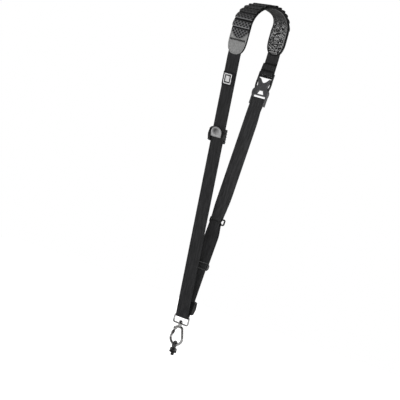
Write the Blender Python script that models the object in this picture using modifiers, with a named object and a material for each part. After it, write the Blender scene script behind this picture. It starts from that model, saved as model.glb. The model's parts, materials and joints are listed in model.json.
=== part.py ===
"""Camera sling strap: a padded shoulder loop of webbing with a swivel hook and a screw-in eye.

Metres, +Z up. X runs across the webbing, -Y is the chest side, and the loop hangs in the YZ plane.
The origin is the top of the hollow under the shoulder pad, where the strap sits on its wearer.
"""

from math import asin, atan2, cos, hypot, pi, radians, sin, tan

import bmesh
import bpy
import numpy as np
from mathutils import Matrix, Vector

MM = 0.001

# Clearance between neighbouring pieces
GAP = 0.3 * MM

# Webbing
WEB_WIDTH = 25 * MM
WEB_THICK = 1.5 * MM
TAIL_LENGTH = 22 * MM
PLY = WEB_THICK + GAP

# Shoulder pad, arched over the shoulder
PAD_WIDTH = 35 * MM
FRONT_REACH = 65.5 * MM
BACK_REACH = 67.6 * MM
ARCH_DROP = 39.6 * MM
ARCH_SHEAR = 0.047
CROWN_LEAN = radians(5.6)
BACK_TWIST = radians(13)
LEG_FRONT = 52 * MM
LEG_BACK = 40.3 * MM
TIP_LENGTH = 28 * MM
TIP_ROUNDNESS = 2.6
LINING_THICK = 1 * MM
CORE_THICK = 2.2 * MM
BINDING_WIDTH = 2 * MM
LOOP_PITCH = 14 * MM
LOOP_LOW = 1.2 * MM
LOOP_HIGH = 2.8 * MM
LOOP_EDGE = 0.5 * MM
LEATHER_THICK = 1.5 * MM
LEATHER_CENTRE = 28 * MM
LEATHER_SIDE = 40 * MM
STRAP_INSERT = 20 * MM
PAD_STEP = 5 * MM

# Heights of the pieces along the straps, at the webbing's middle
RING_BAR_HEIGHT = -550.3 * MM
LABEL_HEIGHT = -133.8 * MM
BUMPER_FRONT_HEIGHT = -230.4 * MM
BUMPER_REAR_HEIGHT = -532.8 * MM
SLIDER_HEIGHT = -458.3 * MM
LOOP_HEIGHT = -376.8 * MM
BUCKLE_HEIGHT = -119.8 * MM

# Label
LABEL_LENGTH = 23.5 * MM
LABEL_THICK = 0.8 * MM
FRAME_WIDTH = 15 * MM
FRAME_LENGTH = 17.6 * MM
FRAME_BORDER = 1.7 * MM
FRAME_THICK = 0.4 * MM
FRAME_OFFSET = -2.3 * MM

# Cam-lock bumper: a body round the webbing and a lever on a pin
BODY_LENGTH = 24.7 * MM
CHEEK_SKIRT = 2.4 * MM
CHEEK_DEPTH = 11.6 * MM
CHEEK_RIPPLE = 0.8 * MM
BACK_PLATE_THICK = 1.6 * MM
LEVER_WIDTH = 20.5 * MM
LEVER_HEEL = 2.2 * MM
LEVER_STRAIGHT = 4.2 * MM
LEVER_REACH = 15.9 * MM
LEVER_THICK = 3.2 * MM
LEVER_LEAN = radians(18)
DIMPLE_RADIUS = 5.2 * MM
DIMPLE_DEPTH = 1.2 * MM
DIMPLE_SHIFT = 0.8 * MM
CAM_RADIUS = 3 * MM
PIN_RADIUS = 1.2 * MM
PIN_DEPTH = 1.8 * MM

# Side-release buckle
BUCKLE_THICK = 7.4 * MM
BUCKLE_HALF = 16 * MM
PRONG_THICK = 4 * MM
BAR_RADIUS = 1.7 * MM
RAIL_WIDTH = 2.2 * MM
RAIL_THICK = 5 * MM

# Adjuster slider and strap loop
SLIDER_BAR_RADIUS = 1.1 * MM
SLIDER_BAR_SPREAD = 5.2 * MM
SLIDER_BAR_OFFSET = 3.8 * MM
SLIDER_RAIL = 2.9 * MM
LOOP_WIRE_RADIUS = 1.4 * MM
LOOP_HALF_LENGTH = 4.6 * MM
LOOP_HALF_WIDTH = 14.4 * MM
LOOP_CORNER = 2 * MM
LOOP_SHIFT = 0.8 * MM
LOOP_SLACK = 0.6 * MM
PINCH = 2.4 * MM
PINCH_SHIFT = 1.6 * MM
PINCH_LENGTH = 30 * MM
PINCH_STEP = 8 * MM

# Swivel ring, hook and gate
RING_WIRE_RADIUS = 1.6 * MM
RING_DROP = 14 * MM
RING_CORNER = 3 * MM
BOSS_RADIUS = 4 * MM
BOSS_LENGTH = 4.8 * MM
SHANK_RADIUS = 2 * MM
SHANK_HEAD_RADIUS = 3.4 * MM
SHANK_HEAD_LENGTH = 3.4 * MM
COLLAR_RADIUS = 3.2 * MM
COLLAR_LENGTH = 2 * MM
HOOK_WIRE_RADIUS = 2.4 * MM
HOOK_TOP_HALF = 2.9 * MM
HOOK_TOP_CORNER = 4.5 * MM
HOOK_BOW_RADIUS = 11.6 * MM
HOOK_BOW_DROP = 19.8 * MM
GATE_WIRE_RADIUS = 2.1 * MM
GATE_SLEEVE_RADIUS = 2.9 * MM
KNUCKLE_RADIUS = 3 * MM
TONGUE_THICK = 1.8 * MM

# Screw-in eye
EYE_RADIUS = 5.1 * MM
EYE_WIRE_RADIUS = 2.1 * MM
BASE_RADIUS = 6.2 * MM
BASE_LENGTH = 5.6 * MM
BASE_SINK = 1.6 * MM
WASHER_RADIUS = 6.5 * MM
WASHER_THICK = 2.3 * MM
STUD_RADIUS = 3.175 * MM
NECK_RADIUS = 2.8 * MM
STUD_LENGTH = 5.2 * MM

FRONT, BACK = -1, 1
PAD_COLUMNS = 4
TIP_TURNS = [radians(a) for a in (85, 70, 52, 34, 17, 0)]

# Heights through the pad's thickness, from its middle surface
CORE_TOP = WEB_THICK / 2
CORE_LOW = CORE_TOP - CORE_THICK
LINING_TOP = CORE_LOW - GAP
LINING_LOW = LINING_TOP - LINING_THICK
COVER_LOW = CORE_TOP + GAP


def clear_scene():
    """Remove every object that the file starts with."""
    for obj in list(bpy.data.objects):
        bpy.data.objects.remove(obj, do_unlink=True)


def new_collection(name):
    """A collection linked to the scene."""
    group = bpy.data.collections.new(name)
    bpy.context.scene.collection.children.link(group)
    return group


def finish(name, colour, roughness, metallic=0.0):
    """A plain Principled material."""
    mat = bpy.data.materials.new(name)
    mat.use_nodes = True
    shader = mat.node_tree.nodes["Principled BSDF"]
    shader.inputs["Base Color"].default_value = (*colour, 1.0)
    shader.inputs["Roughness"].default_value = roughness
    shader.inputs["Metallic"].default_value = metallic
    return mat


clear_scene()
PARTS = new_collection("camera_sling_strap")
CUTTERS = new_collection("cutters")

WEBBING = finish("webbing", (0.03, 0.03, 0.032), 0.8)
MESH_LINING = finish("mesh_lining", (0.075, 0.075, 0.08), 0.9)
TAPE = finish("binding_tape", (0.008, 0.008, 0.009), 0.75)
LEATHER = finish("leather", (0.25, 0.25, 0.25), 0.6)
FOAM = finish("foam", (0.02, 0.02, 0.02), 0.95)
BLACK_PLASTIC = finish("black_plastic", (0.012, 0.012, 0.012), 0.35)
SMOKE_PLASTIC = finish("smoke_plastic", (0.075, 0.075, 0.075), 0.25)
SILVER_PLASTIC = finish("silver_plastic", (0.5, 0.5, 0.5), 0.35, 0.4)
LABEL_WHITE = finish("label_white", (0.85, 0.85, 0.85), 0.6)
CHROME = finish("chrome", (0.7, 0.7, 0.7), 0.15, 1.0)
DARK_METAL = finish("dark_metal", (0.15, 0.15, 0.15), 0.35, 0.9)
RUBBER = finish("rubber", (0.015, 0.015, 0.015), 0.8)


def add_object(name, mesh, mat, group=PARTS):
    """Link a mesh as a named object with one material."""
    mesh.name = name
    obj = bpy.data.objects.new(name, mesh)
    group.objects.link(obj)
    mesh.materials.clear()
    mesh.materials.append(mat)
    if group is CUTTERS:
        obj.hide_render = True
        obj.display_type = "WIRE"
    return obj


def from_bmesh(name, bm, mat, group=PARTS):
    """Close a bmesh into an object, with its faces pointing out."""
    bmesh.ops.recalc_face_normals(bm, faces=bm.faces[:])
    if bm.calc_volume(signed=True) < 0:
        bmesh.ops.reverse_faces(bm, faces=bm.faces[:])
    mesh = bpy.data.meshes.new(name)
    bm.to_mesh(mesh)
    bm.free()
    return add_object(name, mesh, mat, group)


def smooth(obj, angle=40):
    """Shade a round piece smooth, with its sharp edges kept."""
    obj.data.shade_smooth()
    obj.data.set_sharp_from_angle(angle=radians(angle))
    return obj


def curve_to_mesh(name, curve, mat, group):
    """Turn a curve into a mesh object with welded caps."""
    temp = bpy.data.objects.new(name + "_curve", curve)
    bpy.context.scene.collection.objects.link(temp)
    graph = bpy.context.evaluated_depsgraph_get()
    mesh = bpy.data.meshes.new_from_object(temp.evaluated_get(graph))
    bpy.data.objects.remove(temp, do_unlink=True)
    bpy.data.curves.remove(curve)
    bm = bmesh.new()
    bm.from_mesh(mesh)
    bpy.data.meshes.remove(mesh)
    bmesh.ops.remove_doubles(bm, verts=bm.verts[:], dist=0.00001)
    return from_bmesh(name, bm, mat, group)


def poly_curve(name, outlines, flat, cyclic=True):
    """A curve of POLY splines through lists of points."""
    curve = bpy.data.curves.new(name, "CURVE")
    curve.dimensions = "2D" if flat else "3D"
    for points in outlines:
        spline = curve.splines.new("POLY")
        spline.points.add(len(points) - 1)
        for slot, point in zip(spline.points, points):
            slot.co = (*point, 0.0, 1.0) if len(point) == 2 else (*point, 1.0)
        spline.use_cyclic_u = cyclic
    return curve


def plate(name, outlines, thick, mat, group=PARTS):
    """A flat outline, with any holes, in the XY plane and thick along Z."""
    curve = poly_curve(name, outlines, flat=True)
    curve.fill_mode = "BOTH"
    curve.extrude = thick / 2
    return curve_to_mesh(name, curve, mat, group)


def wire(name, points, radius, mat, cyclic=False, group=PARTS, sides=2):
    """A round wire through a list of points."""
    curve = poly_curve(name, [points], flat=False, cyclic=cyclic)
    curve.bevel_depth = radius
    curve.bevel_resolution = sides
    curve.use_fill_caps = True
    return smooth(curve_to_mesh(name, curve, mat, group))


def rod(name, radius, length, mat, group=PARTS, sides=12, axis="Z", centre=(0, 0, 0)):
    """A round bar about a centre, along one axis."""
    bm = bmesh.new()
    bmesh.ops.create_cone(
        bm, cap_ends=True, segments=sides, radius1=radius, radius2=radius, depth=length
    )
    turn = {"X": Matrix.Rotation(pi / 2, 4, "Y"), "Y": Matrix.Rotation(pi / 2, 4, "X")}
    bm.transform(Matrix.Translation(centre) @ turn.get(axis, Matrix.Identity(4)))
    return smooth(from_bmesh(name, bm, mat, group))


def block(name, size, mat, group=CUTTERS, centre=(0, 0, 0)):
    """A box about a centre."""
    bm = bmesh.new()
    bmesh.ops.create_cube(bm, size=1, matrix=Matrix.Translation(centre) @ Matrix.Diagonal((*size, 1)))
    return from_bmesh(name, bm, mat, group)


def turned(name, profile, mat, group=PARTS, steps=16):
    """A profile of (radius, height) rows turned about Z; a ring's last row repeats its first."""
    bm = bmesh.new()
    closed = profile[0] == profile[-1]
    rows = profile[:-1] if closed else profile
    verts = [bm.verts.new((radius, 0, height)) for radius, height in rows]
    if closed:
        verts.append(verts[0])
    for a, b in zip(verts, verts[1:]):
        bm.edges.new((a, b))
    mesh = bpy.data.meshes.new(name)
    bm.to_mesh(mesh)
    bm.free()
    obj = add_object(name, mesh, mat, group)
    screw = obj.modifiers.new("turn", "SCREW")
    screw.steps = steps
    screw.render_steps = steps
    screw.use_merge_vertices = True
    screw.merge_threshold = 0.00001
    screw.use_smooth_shade = True
    return obj


def combine(target, others, operation="UNION"):
    """Join or cut a piece with others, which stay as guides."""
    for other in others:
        boolean = target.modifiers.new(other.name, "BOOLEAN")
        boolean.object = other
        boolean.operation = operation
    return target


def place(objs, matrix):
    """Put several objects into one frame."""
    for obj in objs:
        obj.matrix_world = matrix @ obj.matrix_world


def arc(centre, radius, start, end, steps):
    """Points of an arc, both ends included."""
    turns = [start + (end - start) * k / steps for k in range(steps + 1)]
    return [(centre[0] + radius * cos(t), centre[1] + radius * sin(t)) for t in turns]


def rounded_box(half_x, low_y, high_y, corner, steps=4):
    """Outline of a rectangle with round corners."""
    right, top, bottom = half_x - corner, high_y - corner, low_y + corner
    return (
        arc((right, top), corner, 0, pi / 2, steps)
        + arc((-right, top), corner, pi / 2, pi, steps)
        + arc((-right, bottom), corner, pi, 3 * pi / 2, steps)
        + arc((right, bottom), corner, 3 * pi / 2, 2 * pi, steps)
    )


def mirrored(half):
    """A closed outline from its right half, listed from the top centre to the bottom centre."""
    return half + [(-x, y) for x, y in reversed(half) if x > 0]


def pad_path():
    """Lengths, places and tangents along the pad's middle surface, zero at the crown."""
    turns = np.linspace(0, pi, 361)
    y = -np.where(turns < pi / 2, FRONT_REACH, BACK_REACH) * np.cos(turns)
    z = -LINING_LOW + ARCH_DROP * (np.sin(turns) - 1) + ARCH_SHEAR * y
    y = np.concatenate([[y[0]], y, [y[-1]]])
    z = np.concatenate([[z[0] - LEG_FRONT], z, [z[-1] - LEG_BACK]])
    length = np.concatenate([[0], np.cumsum(np.hypot(np.diff(y), np.diff(z)))])
    return length - length[181], y, z


PAD_S, PAD_Y, PAD_Z = pad_path()
PAD_START, PAD_END = float(PAD_S[0]), float(PAD_S[-1])
PAD_MIDDLE = (PAD_START + PAD_END) / 2


def pad_point(x, s, t):
    """A point at x across, s along and t out of the pad's middle surface."""
    step = 0.5 * MM
    y, z = float(np.interp(s, PAD_S, PAD_Y)), float(np.interp(s, PAD_S, PAD_Z))
    low, high = max(s - step, PAD_START), min(s + step, PAD_END)
    dy = float(np.interp(high, PAD_S, PAD_Y) - np.interp(low, PAD_S, PAD_Y))
    dz = float(np.interp(high, PAD_S, PAD_Z) - np.interp(low, PAD_S, PAD_Z))
    size = hypot(dy, dz)
    out_y, out_z = -dz / size, dy / size
    t += x * tan(CROWN_LEAN) * max(out_z, 0) ** 2
    t += (PAD_WIDTH / 2 - x) * tan(BACK_TWIST) * (2 * max(out_y, 0) * max(out_z, 0)) ** 2
    return Vector((x, y + out_y * t, z + out_z * t))


def pad_rows(inset, cut=0.0):
    """Rows of (place along, half width) of the pad's plan, drawn in by an inset and cut short."""
    half, tip, power = PAD_WIDTH / 2 - inset, TIP_LENGTH - inset, 2 / TIP_ROUNDNESS
    front, back = PAD_START + TIP_LENGTH, PAD_END - TIP_LENGTH
    tips = [(tip * sin(turn) ** power, half * cos(turn) ** power) for turn in TIP_TURNS]
    steps = round((back - front) / PAD_STEP)
    rows = [(front - reach, width) for reach, width in tips]
    rows += [(front + (back - front) * k / steps, half) for k in range(1, steps)]
    rows += [(back + reach, width) for reach, width in reversed(tips)]
    return [row for row in rows if PAD_START + cut < row[0] < PAD_END - cut]


def slab(name, columns, rows, plan, height, mat):
    """A closed slab on the pad: plan gives (across, along) and height the way out of its surface."""
    bm = bmesh.new()
    bmesh.ops.create_grid(bm, x_segments=columns, y_segments=rows, size=1)
    for vert in bm.verts:
        vert.co = (*plan(vert.co.x, (vert.co.y + 1) / 2), 0)
    bmesh.ops.remove_doubles(bm, verts=bm.verts[:], dist=0.00001)
    raised = bmesh.ops.extrude_face_region(bm, geom=bm.faces[:])["geom"]
    top = {item for item in raised if isinstance(item, bmesh.types.BMVert)}
    for vert in bm.verts:
        x, s = vert.co.x, vert.co.y
        vert.co = pad_point(x, s, height(x, s, vert in top))
    return from_bmesh(name, bm, mat)


def pad_band(name, rows, low, high, mat):
    """A band over the pad through rows of (place along, half width), between two heights."""
    last = len(rows) - 1

    def plan(across, along):
        s, half = rows[round(along * last)]
        return across * half, s

    return slab(name, PAD_COLUMNS, last, plan, lambda x, s, raised: high if raised else low, mat)


def loop_rows():
    """Rows of the stitched loops: place along, thickness. Each swells away from the pad's middle."""
    swell = [(0.0, 0.0), (0.3, 0.5), (0.65, 0.85), (0.9, 1.0), (0.985, 0.75)]
    count = int(((PAD_END - PAD_START) / 2 - LEATHER_SIDE) // LOOP_PITCH)
    side = [
        (LOOP_PITCH * (k + share), LOOP_LOW + (LOOP_HIGH - LOOP_LOW) * rise)
        for k in range(count)
        for share, rise in swell
    ]
    side += [(LOOP_PITCH * (count + share), LOOP_LOW) for share in (0, 0.18, 0.36)]
    front = [(PAD_MIDDLE - s, thick) for s, thick in reversed(side[1:])]
    back = [(PAD_MIDDLE + s, thick) for s, thick in side]
    return front + back


def make_pad():
    """The shoulder pad: lining, foam core, taped edge, stitched loops and two leather tips."""
    inner = BINDING_WIDTH + GAP
    pad_band("pad_lining", pad_rows(inner), LINING_LOW, LINING_TOP, MESH_LINING)
    core = pad_rows(inner, cut=STRAP_INSERT + GAP)
    pad_band("pad_core", core, CORE_LOW, CORE_TOP, FOAM)
    make_binding()
    make_loops()
    make_tip("leather_tip_front", PAD_START, 1)
    make_tip("leather_tip_back", PAD_END, -1)


def leather_reach(across):
    """How far a leather tip runs up the pad, least at the pad's middle line."""
    return LEATHER_CENTRE + (LEATHER_SIDE - LEATHER_CENTRE) * across**2


def make_loops():
    """The webbing stitched down in loops over the pad, its two ends cut to fit the tips."""
    rows = loop_rows()
    places, thicks = [row[0] for row in rows], [row[1] for row in rows]
    last = len(rows) + 1

    def plan(across, along):
        k = round(along * last)
        reach = leather_reach(across) + GAP
        ends = {0: PAD_START + reach, last: PAD_END - reach}
        return across * (PAD_WIDTH / 2 - LOOP_EDGE), ends.get(k) or places[k - 1]

    def height(x, s, raised):
        return COVER_LOW + (float(np.interp(s, places, thicks)) if raised else 0)

    slab("pad_loops", PAD_COLUMNS, last, plan, height, WEBBING)


def make_binding():
    """The tape round the pad's edge, low at the tips where the webbing comes out."""
    outer, inner = pad_rows(0.0), pad_rows(BINDING_WIDTH)
    count = len(outer)
    trip = [(1, k) for k in range(count)] + [(-1, count - 1 - k) for k in range(count)]
    mouth = WEB_WIDTH / 2 + 2 * BINDING_WIDTH
    at_tip = (PAD_END - PAD_START) / 2 - STRAP_INSERT - GAP

    def plan(across, along):
        side, k = trip[round(along * len(trip)) % len(trip)]
        s, half = (outer if across > 0 else inner)[k]
        return side * half, s

    def height(x, s, raised):
        if not raised:
            return LINING_LOW + GAP
        open_here = abs(s - PAD_MIDDLE) > at_tip and abs(x) < mouth
        return CORE_LOW if open_here else CORE_TOP

    slab("pad_binding", 1, len(trip), plan, height, TAPE)


def make_tip(name, end, inward):
    """A leather patch on one tip, hollowed at its top where the loops end."""
    rows = pad_rows(LOOP_EDGE)
    places, halves = [row[0] for row in rows], [row[1] for row in rows]
    last = places[0] if inward > 0 else places[-1]

    def plan(across, along):
        top = end + inward * leather_reach(across)
        s = top + (last - top) * along
        return across * float(np.interp(s, places, halves)), s

    def height(x, s, raised):
        return COVER_LOW + (LEATHER_THICK if raised else 0)

    slab(name, PAD_COLUMNS, 9, plan, height, LEATHER)


FOLD = RING_WIRE_RADIUS + GAP + WEB_THICK / 2
TIP_FRONT = (-FRONT_REACH, float(PAD_Z[0]))
TIP_BACK = (BACK_REACH, float(PAD_Z[-1]))


def tangent(first, second):
    """Heading and ends of the straight run between two wraps of (y, z, radius, turn sense)."""
    (y1, z1, r1, s1), (y2, z2, r2, s2) = first, second
    away = hypot(y2 - y1, z2 - z1)
    heading = atan2(z2 - z1, y2 - y1) - asin((s2 * r2 - s1 * r1) / away)
    left = (-sin(heading), cos(heading))
    start = (y1 - s1 * r1 * left[0], z1 - s1 * r1 * left[1])
    end = (y2 - s2 * r2 * left[0], z2 - s2 * r2 * left[1])
    return heading, start, end


def wrap_arc(wrap, heading, turn, step):
    """Points round a wrap, met at a heading and left after a turn."""
    y, z, radius, sense = wrap
    side = atan2(-sense * cos(heading), sense * sin(heading))
    return arc((y, z), radius, side, side + sense * turn, max(1, round(turn / step)))


def thread(wraps, last_turn=0.0, step=radians(24)):
    """The path of a strap drawn tight through wraps of (y, z, radius, turn sense)."""
    runs = [tangent(a, b) for a, b in zip(wraps, wraps[1:])]
    points = [runs[0][1]]
    for k, wrap in enumerate(wraps[1:]):
        heading, _, end = runs[k]
        turn = last_turn
        if k + 1 < len(runs):
            turn = (wrap[3] * (runs[k + 1][0] - heading)) % (2 * pi)
        if wrap[2] == 0 or turn == 0 or turn > 1.9 * pi:
            points.append(end)
        else:
            points += wrap_arc(wrap, heading, turn, step)
    return points


RING_WRAP = (0.0, RING_BAR_HEIGHT, FOLD, 1)
FRONT_LINE = tangent((*TIP_FRONT, 0.0, 1), RING_WRAP)
BACK_LINE = tangent(RING_WRAP, (*TIP_BACK, 0.0, 1))


def strap_frame(side, height):
    """A frame on a strap's middle plane at a height: X across, Y up along it, Z out of the loop."""
    heading, start, _ = FRONT_LINE if side == FRONT else BACK_LINE
    up = Vector((0, cos(heading), sin(heading))) * (-1 if side == FRONT else 1)
    across = Vector((-side, 0, 0))
    run = (height - start[1]) / up.z
    origin = Vector((0, start[0], start[1])) + up * run
    rows = Matrix((across, up, across.cross(up))).transposed().to_4x4()
    return Matrix.Translation(origin) @ rows


def on_strap(side, height, along=0.0, out=0.0):
    """The (y, z) of a point near a strap, along it and out of the loop from a height."""
    spot = strap_frame(side, height) @ Vector((0, along, out))
    return spot.y, spot.z


# Wrap radii, and how far each bar lies out of the strap's middle plane
SLIDER_WRAP = SLIDER_BAR_RADIUS + GAP + WEB_THICK / 2
SLIDER_OVER = SLIDER_WRAP + PLY
SLIDER_SIDE_OUT = -SLIDER_WRAP
SLIDER_MIDDLE_OUT = SLIDER_SIDE_OUT + SLIDER_BAR_OFFSET
LOOP_WRAP = LOOP_WIRE_RADIUS + GAP + WEB_THICK / 2
LOOP_OUT = LOOP_WRAP
BUCKLE_WRAP = BAR_RADIUS + GAP + WEB_THICK / 2

# Buckle rows along the strap, from the tops of the socket's arms
MALE_BAR = 12.4 * MM
MALE_CROSS_TOP = 8.6 * MM
MALE_CROSS_LOW = 4.8 * MM
SOCKET_END = -28.2 * MM
SOCKET_BAR = -35.2 * MM
SOCKET_RAIL_END = -45.6 * MM
SOCKET_KEEPER = -43.6 * MM
KEEPER_OUT = 4.9 * MM
KEEPER_RADIUS = 1.1 * MM


def divided(points):
    """The same path with its long runs divided."""
    path = points[:1]
    for (y0, z0), (y1, z1) in zip(points, points[1:]):
        count = max(1, round(hypot(y1 - y0, z1 - z0) / PINCH_STEP))
        path += [(y0 + (y1 - y0) * k / count, z0 + (z1 - z0) * k / count) for k in range(1, count + 1)]
    return path


def strap(name, points, pinch=None):
    """Webbing along a path in the YZ plane, drawn in where a loop pinches it."""
    if pinch:
        points = divided(points)
    last = len(points) - 1
    bm = bmesh.new()
    bmesh.ops.create_grid(bm, x_segments=1, y_segments=last, size=1)
    for vert in bm.verts:
        y, z = points[round((vert.co.y + 1) / 2 * last)]
        tight = 0.0
        if pinch:
            away = min(1, hypot(y - pinch[0], z - pinch[1]) / PINCH_LENGTH)
            tight = 0.5 + 0.5 * cos(pi * away)
        vert.co = (vert.co.x * (WEB_WIDTH / 2 - PINCH * tight) - PINCH_SHIFT * tight, y, z)
    obj = from_bmesh(name, bm, WEBBING)
    solid = obj.modifiers.new("thickness", "SOLIDIFY")
    solid.thickness = WEB_THICK
    solid.offset = 0
    solid.use_even_offset = True
    return obj


def make_webbing():
    """The three straps, threaded through the ring, the adjuster and the buckle."""
    side_bar = (SLIDER_BAR_SPREAD, SLIDER_SIDE_OUT)
    pinch = on_strap(BACK, LOOP_HEIGHT, 0, LOOP_OUT)
    fold = LOOP_HALF_LENGTH - LOOP_SLACK
    long_wraps = [
        (TIP_FRONT[0], TIP_FRONT[1] + STRAP_INSERT, 0.0, 1),
        (TIP_FRONT[0], TIP_FRONT[1] - 1 * MM, 0.0, 1),
        RING_WRAP,
        (*on_strap(BACK, SLIDER_HEIGHT, -side_bar[0], side_bar[1]), SLIDER_WRAP, 1),
        (*on_strap(BACK, SLIDER_HEIGHT, 0, SLIDER_MIDDLE_OUT), SLIDER_OVER, -1),
        (*on_strap(BACK, SLIDER_HEIGHT, side_bar[0], side_bar[1]), SLIDER_WRAP, 1),
        (*on_strap(BACK, LOOP_HEIGHT, -fold, LOOP_OUT), LOOP_WRAP + LOOP_SLACK, -1),
        (*on_strap(BACK, SLIDER_HEIGHT, 0, SLIDER_MIDDLE_OUT), SLIDER_WRAP, -1),
    ]
    strap("webbing_long", thread(long_wraps, last_turn=radians(235)), pinch)
    middle_wraps = [
        (*on_strap(BACK, BUCKLE_HEIGHT, SOCKET_BAR - TAIL_LENGTH, PLY - BUCKLE_WRAP * 0.85), 0.0, 1),
        (*on_strap(BACK, BUCKLE_HEIGHT, SOCKET_BAR, 0), BUCKLE_WRAP, 1),
        (*on_strap(BACK, LOOP_HEIGHT, fold, LOOP_OUT), LOOP_WRAP + LOOP_SLACK, 1),
        (*on_strap(BACK, LOOP_HEIGHT, LOOP_HALF_LENGTH + TAIL_LENGTH, PLY), 0.0, 1),
    ]
    strap("webbing_middle", thread(middle_wraps), pinch)
    top_wraps = [
        (TIP_BACK[0], TIP_BACK[1] + STRAP_INSERT, 0.0, 1),
        (TIP_BACK[0], TIP_BACK[1] - 1 * MM, 0.0, 1),
        (*on_strap(BACK, BUCKLE_HEIGHT, MALE_BAR, 0), BUCKLE_WRAP, -1),
        (*on_strap(BACK, BUCKLE_HEIGHT, MALE_BAR + 0.8 * TAIL_LENGTH, -PLY / 2), 0.0, 1),
    ]
    strap("webbing_top", thread(top_wraps))


def make_label():
    """A woven patch on the front strap with a plain raised border."""
    patch_out = WEB_THICK / 2 + GAP + LABEL_THICK / 2
    half = LABEL_LENGTH / 2
    outline = rounded_box(WEB_WIDTH / 2, -half, half, 0.8 * MM, steps=2)
    patch = plate("label_patch", [outline], LABEL_THICK, BLACK_PLASTIC)
    frame = strap_frame(FRONT, LABEL_HEIGHT)
    place([patch], frame @ Matrix.Translation((0, 0, patch_out)))
    outer = rounded_box(FRAME_WIDTH / 2, -FRAME_LENGTH / 2, FRAME_LENGTH / 2, 1 * MM, steps=2)
    inner_x, inner_y = FRAME_WIDTH / 2 - FRAME_BORDER, FRAME_LENGTH / 2 - FRAME_BORDER
    inner = rounded_box(inner_x, -inner_y, inner_y, 0.4 * MM, steps=2)
    border = plate("label_border", [outer, inner], FRAME_THICK, LABEL_WHITE)
    border_out = patch_out + LABEL_THICK / 2 + GAP + FRAME_THICK / 2
    place([border], frame @ Matrix.Translation((FRAME_OFFSET, 0, border_out)))


EDGE_IN = WEB_WIDTH / 2 + GAP
SLOT_OUT = WEB_THICK / 2 + GAP
PLATE_OUT = -SLOT_OUT - BACK_PLATE_THICK
PIN_OUT = SLOT_OUT + CAM_RADIUS + 0.2 * MM
CHEEK_IN = LEVER_WIDTH / 2 + GAP
CHEEK_OUT = EDGE_IN + CHEEK_SKIRT


def cheek_outlines():
    """Side view of a cheek, (out of the loop, up the strap): a rippled bow with two windows."""
    half, last = BODY_LENGTH / 2, 20
    bow = []
    for k in range(last + 1):
        turn = pi * k / last
        rise = CHEEK_DEPTH * sin(turn) ** 0.6 - CHEEK_RIPPLE * (0.5 + 0.5 * cos(6 * turn)) * sin(turn)
        bow.append((PLATE_OUT + rise, -half * cos(turn)))
    window = [(2.2, 3.4), (6.4, 3.4), (5.6, 6.6), (3.7, 9.3), (2.2, 9.8)]
    upper = [(x * MM, y * MM) for x, y in window]
    return [bow, upper, [(x, -y) for x, y in upper]]


def sideways(middle):
    """A turn that stands a flat outline across X: its X points out, its Y up the strap."""
    return Matrix(((0, 0, 1, middle), (0, 1, 0, 0), (1, 0, 0, 0), (0, 0, 0, 1)))


def make_bumper(end, side, height):
    """A cam-lock bumper: a body slotted for the webbing, whose two cheeks carry the lever's pin."""
    name = "bumper_body_" + end
    size = (2 * (EDGE_IN + CHEEK_SKIRT / 2), BODY_LENGTH - 2 * MM, BACK_PLATE_THICK)
    body = block(name, size, BLACK_PLASTIC, PARTS, (0, 0, PLATE_OUT + BACK_PLATE_THICK / 2))
    thick = CHEEK_OUT - CHEEK_IN
    slot_size = (2 * EDGE_IN, 2 * BODY_LENGTH, 2 * SLOT_OUT)
    guides, cuts = [], [block(name + "_slot", slot_size, BLACK_PLASTIC)]
    for hand, tag in ((-1, "_left"), (1, "_right")):
        cheek = plate(name + tag, cheek_outlines(), thick, BLACK_PLASTIC, CUTTERS)
        cheek.data.transform(sideways(hand * (CHEEK_IN + thick / 2)))
        cheek.data.flip_normals()
        guides.append(cheek)
        hole_size = (PIN_RADIUS + GAP, 2 * (PIN_DEPTH + GAP))
        hole_spot = (hand * CHEEK_IN, 0, PIN_OUT)
        hole_name = name + tag + "_pin_hole"
        cuts.append(rod(hole_name, *hole_size, BLACK_PLASTIC, CUTTERS, 12, "X", hole_spot))
    combine(body, guides)
    combine(body, cuts, "DIFFERENCE")
    place([body, *guides, *cuts, *make_lever("bumper_lever_" + end)], strap_frame(side, height))


def lever_outline():
    """Plan of the lever: a straight heel by the pin and a round end to lift it by."""
    half = LEVER_WIDTH / 2
    bow = LEVER_REACH - LEVER_STRAIGHT
    points = [(half, -LEVER_HEEL), (half, LEVER_STRAIGHT)]
    points += [(half * cos(pi * k / 14), LEVER_STRAIGHT + bow * sin(pi * k / 14)) for k in range(1, 14)]
    return points + [(-half, LEVER_STRAIGHT), (-half, -LEVER_HEEL)]


def make_lever(name):
    """The lever with its cam and pin round the frame's X axis, and a scoop for a finger."""
    cam = rod(name, CAM_RADIUS, LEVER_WIDTH, SILVER_PLASTIC, PARTS, 16, "X")
    board = plate(name + "_board", [lever_outline()], LEVER_THICK, SILVER_PLASTIC, CUTTERS)
    board.data.transform(Matrix.Translation((0, 0, CAM_RADIUS - LEVER_THICK / 2)))
    bm = bmesh.new()
    bmesh.ops.create_cone(
        bm,
        cap_ends=True,
        segments=16,
        radius1=DIMPLE_RADIUS * 0.6,
        radius2=DIMPLE_RADIUS * 1.4,
        depth=2 * DIMPLE_DEPTH,
    )
    bm.transform(Matrix.Translation((-DIMPLE_SHIFT, LEVER_REACH / 2, CAM_RADIUS)))
    dimple = from_bmesh(name + "_dimple", bm, SILVER_PLASTIC, CUTTERS)
    pin_length = 2 * (CHEEK_IN + PIN_DEPTH)
    pin = rod(name + "_pin", PIN_RADIUS, pin_length, SILVER_PLASTIC, CUTTERS, 12, "X")
    combine(cam, [board, pin])
    combine(cam, [dimple], "DIFFERENCE")
    pieces = [cam, board, dimple, pin]
    place(pieces, Matrix.Translation((0, 0, PIN_OUT)) @ Matrix.Rotation(LEVER_LEAN, 4, "X"))
    return pieces


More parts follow.
